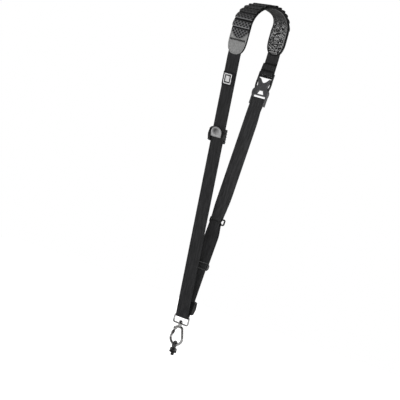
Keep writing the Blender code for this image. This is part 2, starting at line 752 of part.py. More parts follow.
def make_buckle():
    """The side-release buckle, closed: a socket on the middle strap and a plug on the top one."""
    frame = strap_frame(BACK, BUCKLE_HEIGHT)
    rail_in = EDGE_IN
    rail_out = rail_in + RAIL_WIDTH
    arm = rail_in - GAP
    half = [
        (0.0, -4.6 * MM),
        (4.0 * MM, -4.2 * MM),
        (7.6 * MM, -1.4 * MM),
        (10.2 * MM, 3.0 * MM),
        (arm, 3.6 * MM),
        (arm, -1.0 * MM),
        (10.0 * MM, -5.4 * MM),
        (9.0 * MM, -10.0 * MM),
        (10.4 * MM, -14.6 * MM),
        (14.6 * MM, -17.6 * MM),
        (BUCKLE_HALF, -21.0 * MM),
        (BUCKLE_HALF, -26.0 * MM),
        (rail_out, SOCKET_END - 1 * MM),
        (rail_in, SOCKET_END - 1 * MM),
        (rail_in - 0.6 * MM, SOCKET_END),
        (0.0, SOCKET_END),
    ]
    window = [(3.6, -19.4), (7.2, -25.6), (-7.2, -25.6), (-3.6, -19.4)]
    window = [(x * MM, y * MM) for x, y in window]
    socket = plate("buckle_socket", [mirrored(half), window], BUCKLE_THICK, SMOKE_PLASTIC)
    joins, cuts = [], []
    rail_top = SOCKET_END + 2 * MM
    for hand in (-1, 1):
        tag = "left" if hand < 0 else "right"
        x0 = hand * (rail_in + RAIL_WIDTH / 2)
        length = rail_top - SOCKET_RAIL_END
        joins.append(
            block(
                f"buckle_socket_rail_{tag}",
                (RAIL_WIDTH, length, RAIL_THICK + 2 * MM),
                SMOKE_PLASTIC,
                centre=(x0, rail_top - length / 2, 0.8 * MM),
            )
        )
        pocket_top, pocket_low = -13 * MM, -24.4 * MM
        cuts.append(
            block(
                f"buckle_socket_pocket_{tag}",
                (3.4 * MM, pocket_top - pocket_low, PRONG_THICK + 2 * GAP),
                SMOKE_PLASTIC,
                centre=(hand * 12.9 * MM, (pocket_top + pocket_low) / 2, 0),
            )
        )
    span = 2 * (rail_in + RAIL_WIDTH / 2)
    joins.append(
        rod("buckle_socket_bar", BAR_RADIUS, span, SMOKE_PLASTIC, CUTTERS, 10, "X", (0, SOCKET_BAR, 0))
    )
    keeper = (0, SOCKET_KEEPER, KEEPER_OUT)
    joins.append(
        rod("buckle_socket_keeper", KEEPER_RADIUS, span, SMOKE_PLASTIC, CUTTERS, 8, "X", keeper)
    )
    combine(socket, joins)
    combine(socket, cuts, "DIFFERENCE")
    plug, plug_guides = make_plug(rail_in, rail_out)
    place([socket, *joins, *cuts, plug, *plug_guides], frame)


def make_plug(rail_in, rail_out):
    """The buckle's plug: a webbing bar, a cross bar and two sprung prongs."""
    top = MALE_BAR + BAR_RADIUS + 0.6 * MM
    side = [
        (0.0, MALE_CROSS_TOP),
        (rail_in, MALE_CROSS_TOP),
        (rail_in, top),
        (rail_out - 0.6 * MM, top),
        (rail_out, top - 1 * MM),
        (rail_out, MALE_CROSS_LOW - 1 * MM),
        (rail_out + 0.4 * MM, -4.5 * MM),
        (rail_out + 0.4 * MM, -8.5 * MM),
        (15.0 * MM, -12.0 * MM),
        (14.2 * MM, -15.5 * MM),
        (13.9 * MM, -23.2 * MM),
        (12.1 * MM, -23.9 * MM),
        (11.7 * MM, -14.5 * MM),
        (13.2 * MM, -9.0 * MM),
        (rail_in + GAP / 2, -3.5 * MM),
        (rail_in, MALE_CROSS_LOW),
        (0.0, MALE_CROSS_LOW),
    ]
    plug = plate("buckle_plug", [mirrored(side)], PRONG_THICK, BLACK_PLASTIC)
    span = 2 * (rail_in + RAIL_WIDTH / 2)
    bar = rod("buckle_plug_bar", BAR_RADIUS, span, BLACK_PLASTIC, CUTTERS, 10, "X", (0, MALE_BAR, 0))
    combine(plug, [bar])
    return plug, [bar]


def make_slider():
    """The adjuster slider: two rails and three round bars, the middle one set back."""
    frame = strap_frame(BACK, SLIDER_HEIGHT)
    low = SLIDER_SIDE_OUT - SLIDER_BAR_RADIUS - 0.3 * MM
    high = SLIDER_MIDDLE_OUT + SLIDER_BAR_RADIUS
    half = SLIDER_BAR_SPREAD + SLIDER_BAR_RADIUS
    middle = EDGE_IN + SLIDER_RAIL / 2
    outline = [
        (low, -half + 1 * MM),
        (low + 1 * MM, -half),
        (low + 2.4 * MM, -half),
        (high, -2.6 * MM),
        (high, 2.6 * MM),
        (low + 2.4 * MM, half),
        (low + 1 * MM, half),
        (low, half - 1 * MM),
    ]
    slider = plate("strap_slider", [outline], SLIDER_RAIL, BLACK_PLASTIC)
    other = plate("strap_slider_rail", [outline], SLIDER_RAIL, BLACK_PLASTIC, CUTTERS)
    for rail, across in ((slider, -middle), (other, middle)):
        rail.data.transform(sideways(across))
        rail.data.flip_normals()
    bars = [
        rod(
            f"strap_slider_bar_{k}",
            SLIDER_BAR_RADIUS,
            2 * middle,
            BLACK_PLASTIC,
            CUTTERS,
            10,
            "X",
            (0, along, out),
        )
        for k, (along, out) in enumerate(
            [
                (-SLIDER_BAR_SPREAD, SLIDER_SIDE_OUT),
                (0, SLIDER_MIDDLE_OUT),
                (SLIDER_BAR_SPREAD, SLIDER_SIDE_OUT),
            ]
        )
    ]
    combine(slider, [*bars, other])
    place([slider, other, *bars], frame)


def make_strap_loop():
    """The wire loop that joins the adjustable webbing to the middle strap."""
    frame = strap_frame(BACK, LOOP_HEIGHT) @ Matrix.Translation((-LOOP_SHIFT, 0, LOOP_OUT))
    outline = rounded_box(LOOP_HALF_WIDTH, -LOOP_HALF_LENGTH, LOOP_HALF_LENGTH, LOOP_CORNER)
    loop = wire("strap_loop", [(x, y, 0) for x, y in outline], LOOP_WIRE_RADIUS, DARK_METAL, True)
    place([loop], frame)


BOSS_TOP = RING_BAR_HEIGHT - RING_DROP + BOSS_LENGTH / 2
BOSS_LOW = BOSS_TOP - BOSS_LENGTH
HOOK_TOP = BOSS_LOW - GAP - COLLAR_LENGTH - 0.6 * HOOK_WIRE_RADIUS


def make_ring():
    """The swivel ring in the webbing's fold, with a bored boss in its lower bar."""
    half_x = WEB_WIDTH / 2 + 2 * GAP + RING_WIRE_RADIUS
    low = RING_BAR_HEIGHT - RING_DROP
    outline = rounded_box(half_x, low, RING_BAR_HEIGHT, RING_CORNER)
    ring = wire("swivel_ring", [(x, 0, z) for x, z in outline], RING_WIRE_RADIUS, CHROME, True)
    boss = rod("ring_boss", BOSS_RADIUS, BOSS_LENGTH, CHROME, CUTTERS, 20, centre=(0, 0, low))
    bore = rod("ring_bore", SHANK_RADIUS + GAP, 2 * BOSS_LENGTH, CHROME, CUTTERS, 16, centre=(0, 0, low))
    combine(ring, [boss])
    combine(ring, [bore], "DIFFERENCE")


def hook_wraps():
    """The hook's outline as wraps: its two upper corners and its round bow."""
    corner_z = HOOK_TOP - HOOK_TOP_CORNER
    bow_z = HOOK_TOP - HOOK_BOW_DROP
    left = (-HOOK_TOP_HALF, corner_z, HOOK_TOP_CORNER, -1)
    right = (HOOK_TOP_HALF, corner_z, HOOK_TOP_CORNER, -1)
    return left, right, (0.0, bow_z, HOOK_BOW_RADIUS, -1)


def make_hook():
    """The hook: a bent wire with a forked knuckle for its gate and a headed shank."""
    wraps = hook_wraps()
    left, _, bow = wraps
    runs = [tangent(a, b) for a, b in zip(wraps[-1:] + wraps[:-1], wraps)]
    gate_low, gate_top = runs[0][1:]
    points = []
    for k, wrap in enumerate(wraps):
        turn = (runs[k][0] - runs[(k + 1) % 3][0]) % (2 * pi)
        points += wrap_arc(wrap, runs[k][0], turn, radians(20))
    hook = wire("hook", [(x, 0, z) for x, z in points], HOOK_WIRE_RADIUS, CHROME)
    head_low = BOSS_TOP + GAP
    dome = SHANK_HEAD_RADIUS * 0.55
    head_top = head_low + SHANK_HEAD_LENGTH
    shank = turned(
        "hook_shank",
        [
            (0.0, head_top),
            (dome, head_top),
            (SHANK_HEAD_RADIUS, head_low + SHANK_HEAD_LENGTH * 0.5),
            (SHANK_HEAD_RADIUS, head_low),
            (SHANK_RADIUS, head_low),
            (SHANK_RADIUS, BOSS_LOW - GAP),
            (COLLAR_RADIUS, BOSS_LOW - GAP),
            (COLLAR_RADIUS, BOSS_LOW - GAP - COLLAR_LENGTH),
            (0.0, HOOK_TOP - HOOK_WIRE_RADIUS * 0.5),
        ],
        CHROME,
        CUTTERS,
    )
    pivot = (gate_top[0], 0, gate_top[1])
    knuckle = rod(
        "hook_knuckle", KNUCKLE_RADIUS, 2.1 * HOOK_WIRE_RADIUS, CHROME, CUTTERS, 16, "Y", pivot
    )
    slot_size = (2.6 * KNUCKLE_RADIUS, TONGUE_THICK + 2 * GAP, 2.2 * KNUCKLE_RADIUS + 2 * GAP)
    slot = block("hook_fork", slot_size, CHROME, centre=(pivot[0], 0, pivot[2]))
    pin_hole = rod(
        "hook_pin_hole", PIN_RADIUS * 0.7 + GAP, 4 * HOOK_WIRE_RADIUS, CHROME, CUTTERS, 10, "Y", pivot
    )
    combine(hook, [shank, knuckle])
    combine(hook, [slot, pin_hole], "DIFFERENCE")
    make_gate(gate_top, gate_low)


def make_gate(top, low):
    """The sprung gate, hinged in the fork and closing on the hook's nose."""
    length = hypot(top[0] - low[0], top[1] - low[1])
    run = length - 2 * GAP
    start = KNUCKLE_RADIUS + GAP
    gate = turned(
        "hook_gate",
        [
            (0.0, -start),
            (GATE_WIRE_RADIUS, -start),
            (GATE_WIRE_RADIUS, -0.4 * length),
            (GATE_SLEEVE_RADIUS, -0.47 * length),
            (GATE_SLEEVE_RADIUS, -0.8 * length),
            (GATE_WIRE_RADIUS, -0.87 * length),
            (GATE_WIRE_RADIUS, -run),
            (0.0, -run),
        ],
        DARK_METAL,
        steps=12,
    )
    tongue = rod("gate_tongue", KNUCKLE_RADIUS, TONGUE_THICK, DARK_METAL, CUTTERS, 16, "Y")
    stem = block(
        "gate_stem",
        (2 * GATE_WIRE_RADIUS * 0.9, TONGUE_THICK, start + 1.5 * MM),
        DARK_METAL,
        centre=(0, 0, -(start + 1.5 * MM) / 2),
    )
    pin = rod("gate_pin", PIN_RADIUS * 0.7, 2.1 * HOOK_WIRE_RADIUS, DARK_METAL, CUTTERS, 10, "Y")
    combine(gate, [tongue, stem, pin])
    swing = atan2(top[0] - low[0], top[1] - low[1])
    seat = Matrix.Translation((top[0], 0, top[1])) @ Matrix.Rotation(swing, 4, "Y")
    place([gate, tongue, stem, pin], seat)


def make_fastener():
    """The screw-in eye that hangs in the hook's bow, with its rubber washer."""
    bow = hook_wraps()[2]
    wire_top = bow[1] - HOOK_BOW_RADIUS + HOOK_WIRE_RADIUS
    eye_z = wire_top + GAP - (EYE_RADIUS - EYE_WIRE_RADIUS)
    ring = [(0, y, z) for y, z in arc((0, eye_z), EYE_RADIUS, 0, 2 * pi, 20)[:-1]]
    eye = wire("screw_eye", ring, EYE_WIRE_RADIUS, DARK_METAL, cyclic=True)
    base_top = eye_z - EYE_RADIUS - EYE_WIRE_RADIUS + BASE_SINK
    base_low = base_top - BASE_LENGTH
    washer_low = base_low - GAP - WASHER_THICK
    base = turned(
        "screw_base",
        [
            (0.0, base_top),
            (BASE_RADIUS * 0.6, base_top),
            (BASE_RADIUS, base_top - 1.6 * MM),
            (BASE_RADIUS, base_low),
            (NECK_RADIUS, base_low),
            (NECK_RADIUS, washer_low),
            (STUD_RADIUS, washer_low),
            (STUD_RADIUS, washer_low - STUD_LENGTH + 0.6 * MM),
            (STUD_RADIUS - 0.6 * MM, washer_low - STUD_LENGTH),
            (0.0, washer_low - STUD_LENGTH),
        ],
        DARK_METAL,
        CUTTERS,
        steps=20,
    )
    combine(eye, [base])
    turned(
        "rubber_washer",
        [
            (STUD_RADIUS + GAP, washer_low),
            (STUD_RADIUS + GAP, washer_low + WASHER_THICK),
            (WASHER_RADIUS, washer_low + WASHER_THICK),
            (WASHER_RADIUS, washer_low),
            (STUD_RADIUS + GAP, washer_low),
        ],
        RUBBER,
        steps=24,
    )


make_pad()
make_webbing()
make_label()
make_bumper("front", FRONT, BUMPER_FRONT_HEIGHT)
make_bumper("rear", BACK, BUMPER_REAR_HEIGHT)
make_buckle()
make_slider()
make_strap_loop()
make_ring()
make_hook()
make_fastener()
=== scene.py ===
"""Camera sling strap: a padded webbing loop with a swivel hook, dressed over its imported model.

Metres, in the model's own frame: X runs across the webbing, -Y is the chest side and +Z is up.
Every piece is built where the model has its solid, and rides on the body that the solid belongs to.
"""

import json
import logging
import math
import sys
from collections.abc import Callable, Iterable, Sequence
from dataclasses import dataclass, field
from enum import Enum

import bmesh
import bpy
import numpy as np
from mathutils import Matrix, Vector

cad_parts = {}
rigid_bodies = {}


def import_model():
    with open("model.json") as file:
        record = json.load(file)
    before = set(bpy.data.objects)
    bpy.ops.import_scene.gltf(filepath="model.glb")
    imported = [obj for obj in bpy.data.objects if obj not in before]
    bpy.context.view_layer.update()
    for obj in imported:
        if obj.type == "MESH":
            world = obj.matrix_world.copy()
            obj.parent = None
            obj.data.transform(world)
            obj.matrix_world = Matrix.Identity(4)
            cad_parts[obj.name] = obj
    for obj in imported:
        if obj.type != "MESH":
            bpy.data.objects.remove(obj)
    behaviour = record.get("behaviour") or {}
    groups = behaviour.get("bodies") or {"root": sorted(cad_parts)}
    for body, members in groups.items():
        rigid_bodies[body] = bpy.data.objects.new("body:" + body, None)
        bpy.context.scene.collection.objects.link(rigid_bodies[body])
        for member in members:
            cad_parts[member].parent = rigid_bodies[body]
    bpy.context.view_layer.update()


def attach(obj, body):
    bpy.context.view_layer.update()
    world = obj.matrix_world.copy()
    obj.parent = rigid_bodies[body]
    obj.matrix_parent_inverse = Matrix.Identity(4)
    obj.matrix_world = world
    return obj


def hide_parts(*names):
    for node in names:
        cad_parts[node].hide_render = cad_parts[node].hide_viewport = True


for stray in list(bpy.data.objects):
    bpy.data.objects.remove(stray, do_unlink=True)
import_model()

LOG = logging.getLogger("camera_sling_strap")
MM = 0.001
GAP = 0.3 * MM
TURN = 2 * math.pi
RIM = 0.12 * MM
STRAP_BODY = "strap"

Colour = tuple[float, float, float]
Flat = tuple[float, float]
Place = Callable[[float, float], tuple]
Wrap = tuple[float, float, float, int]


class Side(Enum):
    """The two straps that hang from the pad."""

    FRONT = -1
    BACK = 1


class Slot(str, Enum):
    """The model's material slots."""

    WEBBING = "webbing"
    LINING = "mesh_lining"
    TAPE = "binding_tape"
    LEATHER = "leather"
    FOAM = "foam"
    BLACK = "black_plastic"
    SMOKE = "smoke_plastic"
    SILVER = "silver_plastic"
    WHITE = "label_white"
    CHROME = "chrome"
    DARK_METAL = "dark_metal"
    RUBBER = "rubber"


# Node trees and finishes


class Graph:
    """Short calls that build one node tree."""

    def __init__(self, tree: bpy.types.NodeTree) -> None:
        """Keep the tree that the calls add to."""
        self.tree = tree

    def feed(self, socket: bpy.types.NodeSocket, value: object) -> None:
        """Link a socket, or set its own value.

        Args:
            socket: The input to feed.
            value: Another node's output, or a number, colour or vector.
        """
        if isinstance(value, bpy.types.NodeSocket):
            self.tree.links.new(value, socket)
        else:
            socket.default_value = value

    def add(self, kind: str, feeds: dict | None = None, **settings: object) -> bpy.types.Node:
        """Add a node.

        Args:
            kind: The node's type.
            feeds: What goes into its inputs, by name or number.
            settings: The node's own properties.

        Returns:
            The new node.
        """
        node = self.tree.nodes.new(kind)
        for key, value in settings.items():
            setattr(node, key, value)
        for key, value in (feeds or {}).items():
            self.feed(node.inputs[key], value)
        return node

    def math(self, operation: str, *values: object, clamp: bool = False) -> bpy.types.NodeSocket:
        """A Math node's result."""
        return self.add(
            "ShaderNodeMath", dict(enumerate(values)), operation=operation, use_clamp=clamp
        ).outputs[0]

    def mix(self, share: object, first: object, second: object) -> bpy.types.NodeSocket:
        """A blend of two colours."""
        feeds = {0: share, 6: first, 7: second}
        return self.add("ShaderNodeMix", feeds, data_type="RGBA").outputs[2]

    def spread(self, value: object, low: object, high: object, start: float, end: float) -> object:
        """A value moved from one range to another, and held inside it."""
        feeds = {0: value, 1: low, 2: high, 3: start, 4: end}
        return self.add("ShaderNodeMapRange", feeds).outputs[0]

    def noise(self, place: object, scale: float, detail: float = 3.0) -> bpy.types.NodeSocket:
        """A noise value at a place."""
        feeds = {"Vector": place, "Scale": scale, "Detail": detail}
        return self.add("ShaderNodeTexNoise", feeds).outputs[0]


VALUE, PLACE = "NodeSocketFloat", "NodeSocketVector"


class Effects:
    """The node groups that several finishes share, each built once."""

    def __init__(self) -> None:
        """Start with none built."""
        self.built: dict[str, bpy.types.NodeTree] = {}

    def use(self, graph: Graph, name: str, feeds: dict) -> bpy.types.Node:
        """Place a shared effect in a material.

        Args:
            graph: The material's tree.
            name: The effect, which is the name of one of this class's makers.
            feeds: What goes into its inputs.

        Returns:
            The group node.
        """
        if name not in self.built:
            self.built[name] = getattr(self, name)(name)
        node = graph.add("ShaderNodeGroup", node_tree=self.built[name])
        for key, value in feeds.items():
            graph.feed(node.inputs[key], value)
        return node

    @staticmethod
    def blank(name: str, inputs: dict[str, str], outputs: Sequence[str]) -> tuple:
        """A new group: its graph, its inputs' node and its outputs' node."""
        tree = bpy.data.node_groups.new(name, "ShaderNodeTree")
        for key, kind in inputs.items():
            tree.interface.new_socket(name=key, in_out="INPUT", socket_type=kind)
        for key in outputs:
            tree.interface.new_socket(name=key, in_out="OUTPUT", socket_type=VALUE)
        graph = Graph(tree)
        return graph, graph.add("NodeGroupInput").outputs, graph.add("NodeGroupOutput").inputs

    def herringbone(self, name: str) -> bpy.types.NodeTree:
        """Woven columns whose threads lean left and right by turns."""
        inputs = {"Place": PLACE, "Columns": VALUE, "Rows": VALUE, "Lean": VALUE}
        graph, given, out = self.blank(name, inputs, ["Height", "Crown"])
        split = graph.add("ShaderNodeSeparateXYZ", {0: given["Place"]}).outputs
        across = graph.math("MULTIPLY", split[0], given["Columns"])
        share = graph.math("FRACT", across)
        column = graph.math("FLOOR", across)
        odd = graph.math("FLOORED_MODULO", column, 2.0)
        way = graph.math("MULTIPLY_ADD", odd, 2.0, -1.0)
        off_middle = graph.math("SUBTRACT", share, 0.5)
        lean = graph.math("MULTIPLY", graph.math("MULTIPLY", off_middle, way), given["Lean"])
        along = graph.math("MULTIPLY_ADD", split[1], given["Rows"], lean)
        thread = graph.math("MULTIPLY_ADD", graph.math("SINE", graph.math("MULTIPLY", along, TURN)), 0.5, 0.5)
        arch = graph.math("POWER", graph.math("SINE", graph.math("MULTIPLY", share, math.pi)), 0.5)
        crown = graph.math("MULTIPLY", arch, graph.math("MULTIPLY_ADD", thread, 0.55, 0.45))
        graph.feed(out["Height"], crown)
        graph.feed(out["Crown"], graph.math("POWER", crown, 1.6))
        return graph.tree

    def air_mesh(self, name: str) -> bpy.types.NodeTree:
        """A knitted net with rows of small holes set half a step apart."""
        inputs = {"Place": PLACE, "Holes": VALUE, "Size": VALUE}
        graph, given, out = self.blank(name, inputs, ["Height", "Thread"])
        split = graph.add("ShaderNodeSeparateXYZ", {0: given["Place"]}).outputs
        wide = graph.math("MULTIPLY", split[0], given["Holes"])
        tall = graph.math("MULTIPLY", graph.math("MULTIPLY", split[1], given["Holes"]), 1 / math.sqrt(3))
        away = []
        for shift in (0.0, 0.5):
            x = graph.math("SUBTRACT", graph.math("FRACT", graph.math("ADD", wide, shift)), 0.5)
            y = graph.math("SUBTRACT", graph.math("FRACT", graph.math("ADD", tall, shift)), 0.5)
            square = graph.math("ADD", graph.math("MULTIPLY", x, x), graph.math("MULTIPLY", graph.math("MULTIPLY", y, y), 3.0))
            away.append(graph.math("SQRT", square))
        near = graph.math("MINIMUM", *away)
        low, high = [graph.math("MULTIPLY", given["Size"], share) for share in (0.78, 1.22)]
        thread = graph.spread(near, low, high, 0.0, 1.0)
        graph.feed(out["Height"], graph.math("SMOOTH_MIN", graph.math("MULTIPLY", near, 2.2), 0.9, 0.2))
        graph.feed(out["Thread"], thread)
        return graph.tree

    def flecks(self, name: str) -> bpy.types.NodeTree:
        """Bright specks, some in each patch, as where a knit's filling shows through."""
        inputs = {"Place": PLACE, "Cells": VALUE, "Share": VALUE}
        graph, given, out = self.blank(name, inputs, ["Speck"])
        jumble = graph.add("ShaderNodeTexNoise", {"Vector": given["Place"], "Scale": given["Cells"]}).outputs[1]
        bent = graph.add(
            "ShaderNodeMix", {0: 0.0025, 4: given["Place"], 5: jumble}, data_type="VECTOR"
        ).outputs[1]
        feeds = {"Vector": bent, "Scale": given["Cells"], "Randomness": 1.0}
        cells = graph.add("ShaderNodeTexVoronoi", feeds, voronoi_dimensions="2D")
        tone = graph.add("ShaderNodeSeparateColor", {0: cells.outputs["Color"]}).outputs[0]
        chosen = graph.math("LESS_THAN", tone, given["Share"])
        spot = graph.spread(cells.outputs["Distance"], 0.3, 0.5, 1.0, 0.0)
        graph.feed(out["Speck"], graph.math("MULTIPLY", chosen, spot))
        return graph.tree

    def pebble(self, name: str) -> bpy.types.NodeTree:
        """Small rounded cells with fine grooves between them, as in grained leather."""
        graph, given, out = self.blank(name, {"Place": PLACE, "Cells": VALUE}, ["Height", "Crease"])
        fine = graph.math("MULTIPLY", given["Cells"], 0.35)
        warp = graph.add("ShaderNodeTexNoise", {"Vector": given["Place"], "Scale": fine}).outputs[1]
        bent = graph.add(
            "ShaderNodeMix", {0: 0.0012, 4: given["Place"], 5: warp}, data_type="VECTOR"
        ).outputs[1]
        feeds = {"Vector": bent, "Scale": given["Cells"]}
        cells = graph.add("ShaderNodeTexVoronoi", feeds, feature="DISTANCE_TO_EDGE").outputs[0]
        rise = graph.spread(cells, 0.0, 0.22, 0.0, 1.0)
        graph.feed(out["Height"], graph.math("POWER", rise, 0.6))
        graph.feed(out["Crease"], graph.math("SUBTRACT", 1.0, rise))
        return graph.tree

    def mottle(self, name: str) -> bpy.types.NodeTree:
        """Slow and quick changes of tone, with a little dust."""
        inputs = {"Place": PLACE, "Patches": VALUE, "Specks": VALUE}
        graph, given, out = self.blank(name, inputs, ["Tone", "Dust"])
        slow = graph.add("ShaderNodeTexNoise", {"Vector": given["Place"], "Scale": given["Patches"]})
        quick = graph.add("ShaderNodeTexNoise", {"Vector": given["Place"], "Scale": given["Specks"], "Detail": 4.0})
        both = graph.math("MULTIPLY_ADD", quick.outputs[0], 0.4, graph.math("MULTIPLY", slow.outputs[0], 0.6))
        graph.feed(out["Tone"], graph.spread(both, 0.35, 0.65, 0.0, 1.0))
        graph.feed(out["Dust"], graph.spread(quick.outputs[0], 0.62, 0.74, 0.0, 1.0))
        return graph.tree

    def edge_wear(self, name: str) -> bpy.types.NodeTree:
        """Rubbed edges, from the piece's own edge attribute; on the lever and slider the same mask also carries a
        painted highlight.
        """
        inputs = {"Place": PLACE, "Edge": VALUE, "Amount": VALUE}
        graph, given, out = self.blank(name, inputs, ["Wear"])
        patch = graph.noise(given["Place"], 700.0)
        rub = graph.math("MULTIPLY", given["Edge"], graph.spread(patch, 0.35, 0.62, 0.25, 1.0))
        graph.feed(out["Wear"], graph.math("MULTIPLY", rub, given["Amount"], clamp=True))
        return graph.tree


EFFECTS = Effects()


@dataclass(frozen=True)
class Finish:
    """A plain finish, which the others add their own surface to."""

    name: str
    slot: Slot
    colour: Colour
    roughness: float = 0.5
    metallic: float = 0.0

    def material(self) -> bpy.types.Material:
        """The finish as a material, made once."""
        found = bpy.data.materials.get(self.name)
        if found:
            return found
        mat = bpy.data.materials.new(self.name)
        mat.use_nodes = True
        graph = Graph(mat.node_tree)
        shader = mat.node_tree.nodes["Principled BSDF"]
        shader.inputs["Base Color"].default_value = (*self.colour, 1.0)
        shader.inputs["Roughness"].default_value = self.roughness
        shader.inputs["Metallic"].default_value = self.metallic
        self.dress(graph, shader.inputs)
        return mat

    def dress(self, graph: Graph, shader: bpy.types.bpy_prop_collection) -> None:
        """Add the surface's own detail to the shader's inputs."""

    def shade(self, factor: float) -> tuple[float, float, float, float]:
        """The finish's colour, darker or lighter."""
        return (*[min(1.0, channel * factor) for channel in self.colour], 1.0)

    @staticmethod
    def bump(graph: Graph, shader: bpy.types.bpy_prop_collection, height: object, depth: float, strength: float = 1.0) -> None:
        """Feed a height into the shader's normal.

        Args:
            graph: The material's tree.
            shader: The shader's inputs.
            height: The height's socket, 0 to 1.
            depth: How deep it is, in metres.
            strength: How much of it shows.
        """
        feeds = {"Height": height, "Distance": depth, "Strength": strength}
        graph.feed(shader["Normal"], graph.add("ShaderNodeBump", feeds).outputs[0])


@dataclass(frozen=True)
class WovenFinish(Finish):
    """Woven cloth that follows the piece's own map."""

    column: float = 1.6 * MM
    row: float = 1.5 * MM
    lean: float = 1.0
    depth: float = 0.25 * MM
    sheen: float = 0.08
    worn: float = 3.0
    streak: float = 420.0

    def dress(self, graph: Graph, shader: bpy.types.bpy_prop_collection) -> None:
        """Leaning threads, dark between the columns, with patches of tone and dust."""
        here = graph.add("ShaderNodeUVMap", uv_map="UVMap").outputs[0]
        feeds = {"Place": here, "Columns": 1 / self.column, "Rows": 1 / self.row, "Lean": self.lean}
        weave = EFFECTS.use(graph, "herringbone", feeds).outputs
        mottle = EFFECTS.use(graph, "mottle", {"Place": here, "Patches": 55.0, "Specks": 900.0}).outputs
        fuzz = graph.noise(here, 5200.0, 2.0)
        lit = graph.mix(weave["Crown"], self.shade(0.4), self.shade(1.4))
        run = graph.add("ShaderNodeMapping", {"Vector": here, "Scale": (self.streak, 40.0, 1.0)}).outputs[0]
        streak = graph.spread(graph.noise(run, 1.0, 2.0), 0.42, 0.62, 0.0, 0.5)
        streaked = graph.mix(streak, lit, self.shade(2.0))
        aged = graph.mix(graph.math("MULTIPLY", mottle["Tone"], 0.25), streaked, self.shade(1.5))
        dusty = graph.mix(graph.math("MULTIPLY", mottle["Dust"], 0.4), aged, self.shade(2.6))
        graph.feed(shader["Base Color"], self.marked(graph, dusty))
        graph.feed(shader["Roughness"], graph.spread(fuzz, 0.3, 0.7, self.roughness - 0.1, self.roughness + 0.1))
        shader["Sheen Weight"].default_value = self.sheen
        shader["Sheen Roughness"].default_value = 0.4
        shader["Specular IOR Level"].default_value = 0.3
        height = graph.math("MULTIPLY_ADD", fuzz, 0.22, weave["Height"])
        self.bump(graph, shader, height, self.depth)


    def marked(self, graph: Graph, colour: object) -> bpy.types.NodeSocket:
        """The cloth's colour, paler where its edge mark is set (rubbed wear, and on the loops' lips also a painted
        highlight) and near black where shade is painted in.
        """
        rub = graph.add("ShaderNodeAttribute", attribute_name="edge").outputs["Fac"]
        painted_shade = graph.add("ShaderNodeAttribute", attribute_name="painted_shade").outputs["Fac"]
        rubbed = graph.mix(rub, colour, self.shade(self.worn))
        # Painted shade: the mark darkens the cloth to near black, as shadow under the loops' lips and by the straps'
        # folds.
        return graph.mix(painted_shade, rubbed, self.shade(0.06))


@dataclass(frozen=True)
class CheckFinish(WovenFinish):
    """Heavy webbing with a pale diamond check over its weave."""

    check: float = 6.4 * MM
    pale: float = 9.5

    def dress(self, graph: Graph, shader: bpy.types.bpy_prop_collection) -> None:
        """Pale diagonal threads between dark diamonds, over fine leaning threads."""
        here = graph.add("ShaderNodeUVMap", uv_map="UVMap").outputs[0]
        feeds = {"Place": here, "Columns": 1 / self.column, "Rows": 1 / self.row, "Lean": self.lean}
        weave = EFFECTS.use(graph, "herringbone", feeds).outputs
        split = graph.add("ShaderNodeSeparateXYZ", {"Vector": here}).outputs
        waves = [
            graph.math("ABSOLUTE", graph.math("SINE", graph.math("MULTIPLY", graph.math(way, split[0], split[1]), math.pi / self.check)))
            for way in ("ADD", "SUBTRACT")
        ]
        thread = graph.spread(graph.math("MINIMUM", *waves), 0.2, 0.45, 1.0, 0.0)
        mottle = EFFECTS.use(graph, "mottle", {"Place": here, "Patches": 70.0, "Specks": 1100.0}).outputs
        fuzz = graph.noise(here, 5200.0, 2.0)
        dark = graph.mix(weave["Crown"], self.shade(0.3), self.shade(0.75))
        pale = graph.mix(weave["Crown"], self.shade(self.pale * 0.6), self.shade(self.pale))
        lit = graph.mix(thread, dark, pale)
        aged = graph.mix(graph.math("MULTIPLY", mottle["Tone"], 0.25), lit, self.shade(1.2))
        graph.feed(shader["Base Color"], self.marked(graph, aged))
        graph.feed(shader["Roughness"], graph.spread(fuzz, 0.3, 0.7, self.roughness - 0.1, self.roughness + 0.1))
        shader["Sheen Weight"].default_value = self.sheen
        shader["Specular IOR Level"].default_value = 0.3
        height = graph.math("MULTIPLY_ADD", thread, 0.7, graph.math("MULTIPLY", weave["Height"], 0.6))
        self.bump(graph, shader, height, self.depth)


